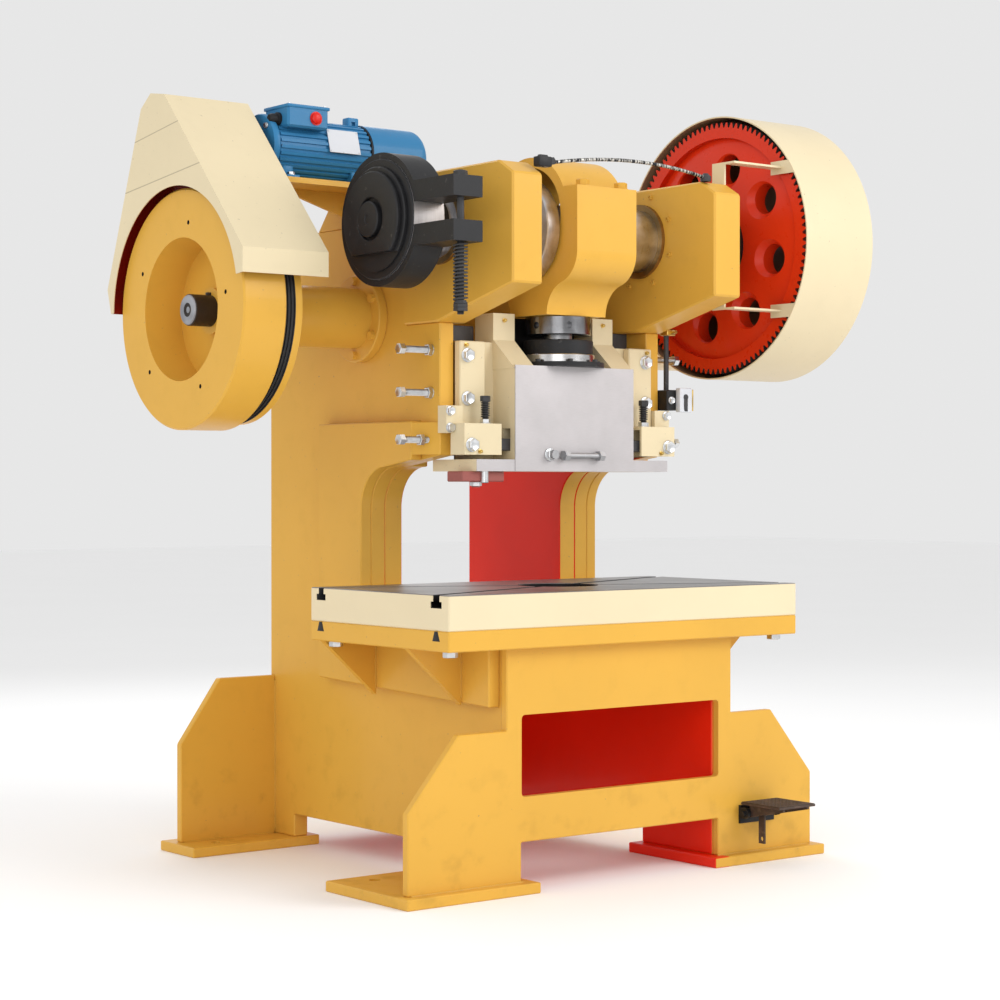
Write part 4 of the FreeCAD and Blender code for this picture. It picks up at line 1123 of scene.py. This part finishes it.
def oil_fittings():
    """Unions at both ends of the oil line."""
    union = block(-338.0, -292.0, -16.0, 12.0, 2006.0, 2034.0, 3.0)
    faces(union, top_side)
    bpy.ops.mesh.inset(thickness=5.0 * MM)
    draw(5.0 * MM, 0.85)
    done()
    nut = placed(hex_body(20.0, 16.0), at(-292.0, -2.0, 2022.0), (0.0, math.radians(77.0), 0.0))
    cup = turned([(0.0, 15.0), (4.0, 16.0), (15.0, 16.0), (18.0, 12.0), (24.0, 7.0)], 24)
    placed(cup, at(338.0, 40.0, 2022.0))
    fittings = [paint(union, black), paint(nut, dark_steel), paint(cup, dark_steel)]
    keep("oil_fittings", together(*fittings), "frame", "black_paint")


def trip_parts():
    """The trip rod's switch with its lever and screw."""
    plate = block(452.0, 504.0, 276.0, 295.8, 1350.0, 1424.0, 3.0)
    bordered(plate, front_side, 6.0, (0.0, 2.0, 0.0))
    paint(plate, blank_plate)
    tongue = block(471.0, 485.0, 275.0, 282.0, 1352.0, 1392.0, 2.0)
    eye = placed(turned([(0.0, 9.0), (3.0, 9.0), (4.0, 7.0)], 20), at(478.0, 279.0, 1396.0), FRONT)
    tongue = paint(together(eye, tongue), dark_steel)
    edge = paint(block(504.2, 508.5, 276.0, 296.0, 1354.0, 1420.0, 1.0), brass)
    screw = placed(paint(hex_bolt(18.0, 9.0), bolt_zinc), at(434.0, 296.0, 1386.0), FRONT)
    keep("trip_switch", together(plate, tongue, edge, screw), "frame", "bright_steel")


def pedal_tread():
    """A mat with two crossed rows of small studs."""
    mat = block(452.0, 598.0, -154.0, 4.0, 183.0, 184.6, 0.8)
    bordered(mat, top_side, 4.0, (0.0, 0.0, -0.5))
    studs = []
    for row in range(2):
        bpy.ops.object.select_all(action="DESELECT")
        bpy.ops.mesh.primitive_cone_add(vertices=4, radius1=6.0 * MM, radius2=3.6 * MM, depth=1.6 * MM)
        stud = bpy.context.active_object
        stud.scale = (1.0, 0.45, 1.0)
        stud.rotation_euler = (0.0, 0.0, math.radians(40.0 if row else -40.0))
        settle(stud)
        repeated(stud, 9, (STUD_STEP * MM, 0.0, 0.0))
        repeated(stud, 10 - row, (0.0, STUD_STEP * MM, 0.0))
        studs.append(placed(stud, at(465.0, -143.0 + STUD_STEP / 2 * row, 184.7)))
    keep("pedal_tread", paint(together(*studs, mat), pedal_brown), "pedal", "black_paint")


keeper_bolt_heads()
gib_screws()
knockout_screws()
other_bolts()
grease_points()
drum_boss()
brake_tie()
motor_frame()
motor_ends()
terminal_fittings()
motor_plate()
fan_grille()
shaft_end()
ram_parts()
clamp_hardware()
bed_notch_shades()
welds()
oil_fittings()
trip_parts()
pedal_tread()


# ---- studio ----

# name, place in metres, size in metres, watts
LAMPS = (("key", (3.0, -5.4, 4.4), 3.6, 195.0), ("fill", (-3.6, -4.6, 2.6), 3.5, 56.0),
         ("left", (-5.2, 0.2, 3.4), 3.0, 26.0), ("back", (1.5, 4.5, 4.2), 3.0, 60.0))
LAMP_AIM = (0.0, -0.2, 1.1)
DAYLIGHT = 0.80
CAMERA_PLACE = (-4.3234, -5.6656, 1.1297)
CAMERA_TURN = (89.6, 0.0, -38.0)
FOCAL_LENGTH = 82.8


def pale_floor():
    """A wide matt floor."""
    bpy.ops.object.select_all(action="DESELECT")
    bpy.ops.mesh.primitive_plane_add(size=60.0)
    floor = bpy.context.active_object
    floor.name = "floor"
    pale = Finish("pale_floor", roughness=0.8)
    pale.set("Base Color", pale.blend(pale.noise(0.8, 3.0), (0.96, 0.96, 0.96), (0.985, 0.985, 0.985)))
    pale.set("Specular IOR Level", 0.1)
    floor.data.materials.append(pale.material)


def lamps():
    """Four square lamps aimed at the press."""
    for name, place, size, energy in LAMPS:
        lamp = bpy.data.lights.new(name, "AREA")
        lamp.size = size
        lamp.energy = energy
        holder = bpy.data.objects.new(name, lamp)
        holder.location = place
        aim = Vector(LAMP_AIM) - holder.location
        holder.rotation_euler = aim.to_track_quat("-Z", "Y").to_euler()
        bpy.context.collection.objects.link(holder)


def surroundings():
    """Even white light from all sides."""
    world = bpy.data.worlds.new("studio")
    world.use_nodes = True
    backdrop = world.node_tree.nodes["Background"]
    backdrop.inputs["Color"].default_value = (1.0, 1.0, 1.0, 1.0)
    backdrop.inputs["Strength"].default_value = DAYLIGHT
    bpy.context.scene.world = world


def main_camera():
    """A long lens, nearly level."""
    lens = bpy.data.cameras.new("camera")
    lens.lens = FOCAL_LENGTH
    lens.sensor_width = 36.0
    camera = bpy.data.objects.new("camera", lens)
    camera.location = CAMERA_PLACE
    camera.rotation_euler = [math.radians(angle) for angle in CAMERA_TURN]
    bpy.context.collection.objects.link(camera)
    bpy.context.scene.camera = camera


pale_floor()
lamps()
surroundings()
main_camera()
bpy.context.scene.view_settings.view_transform = "Standard"
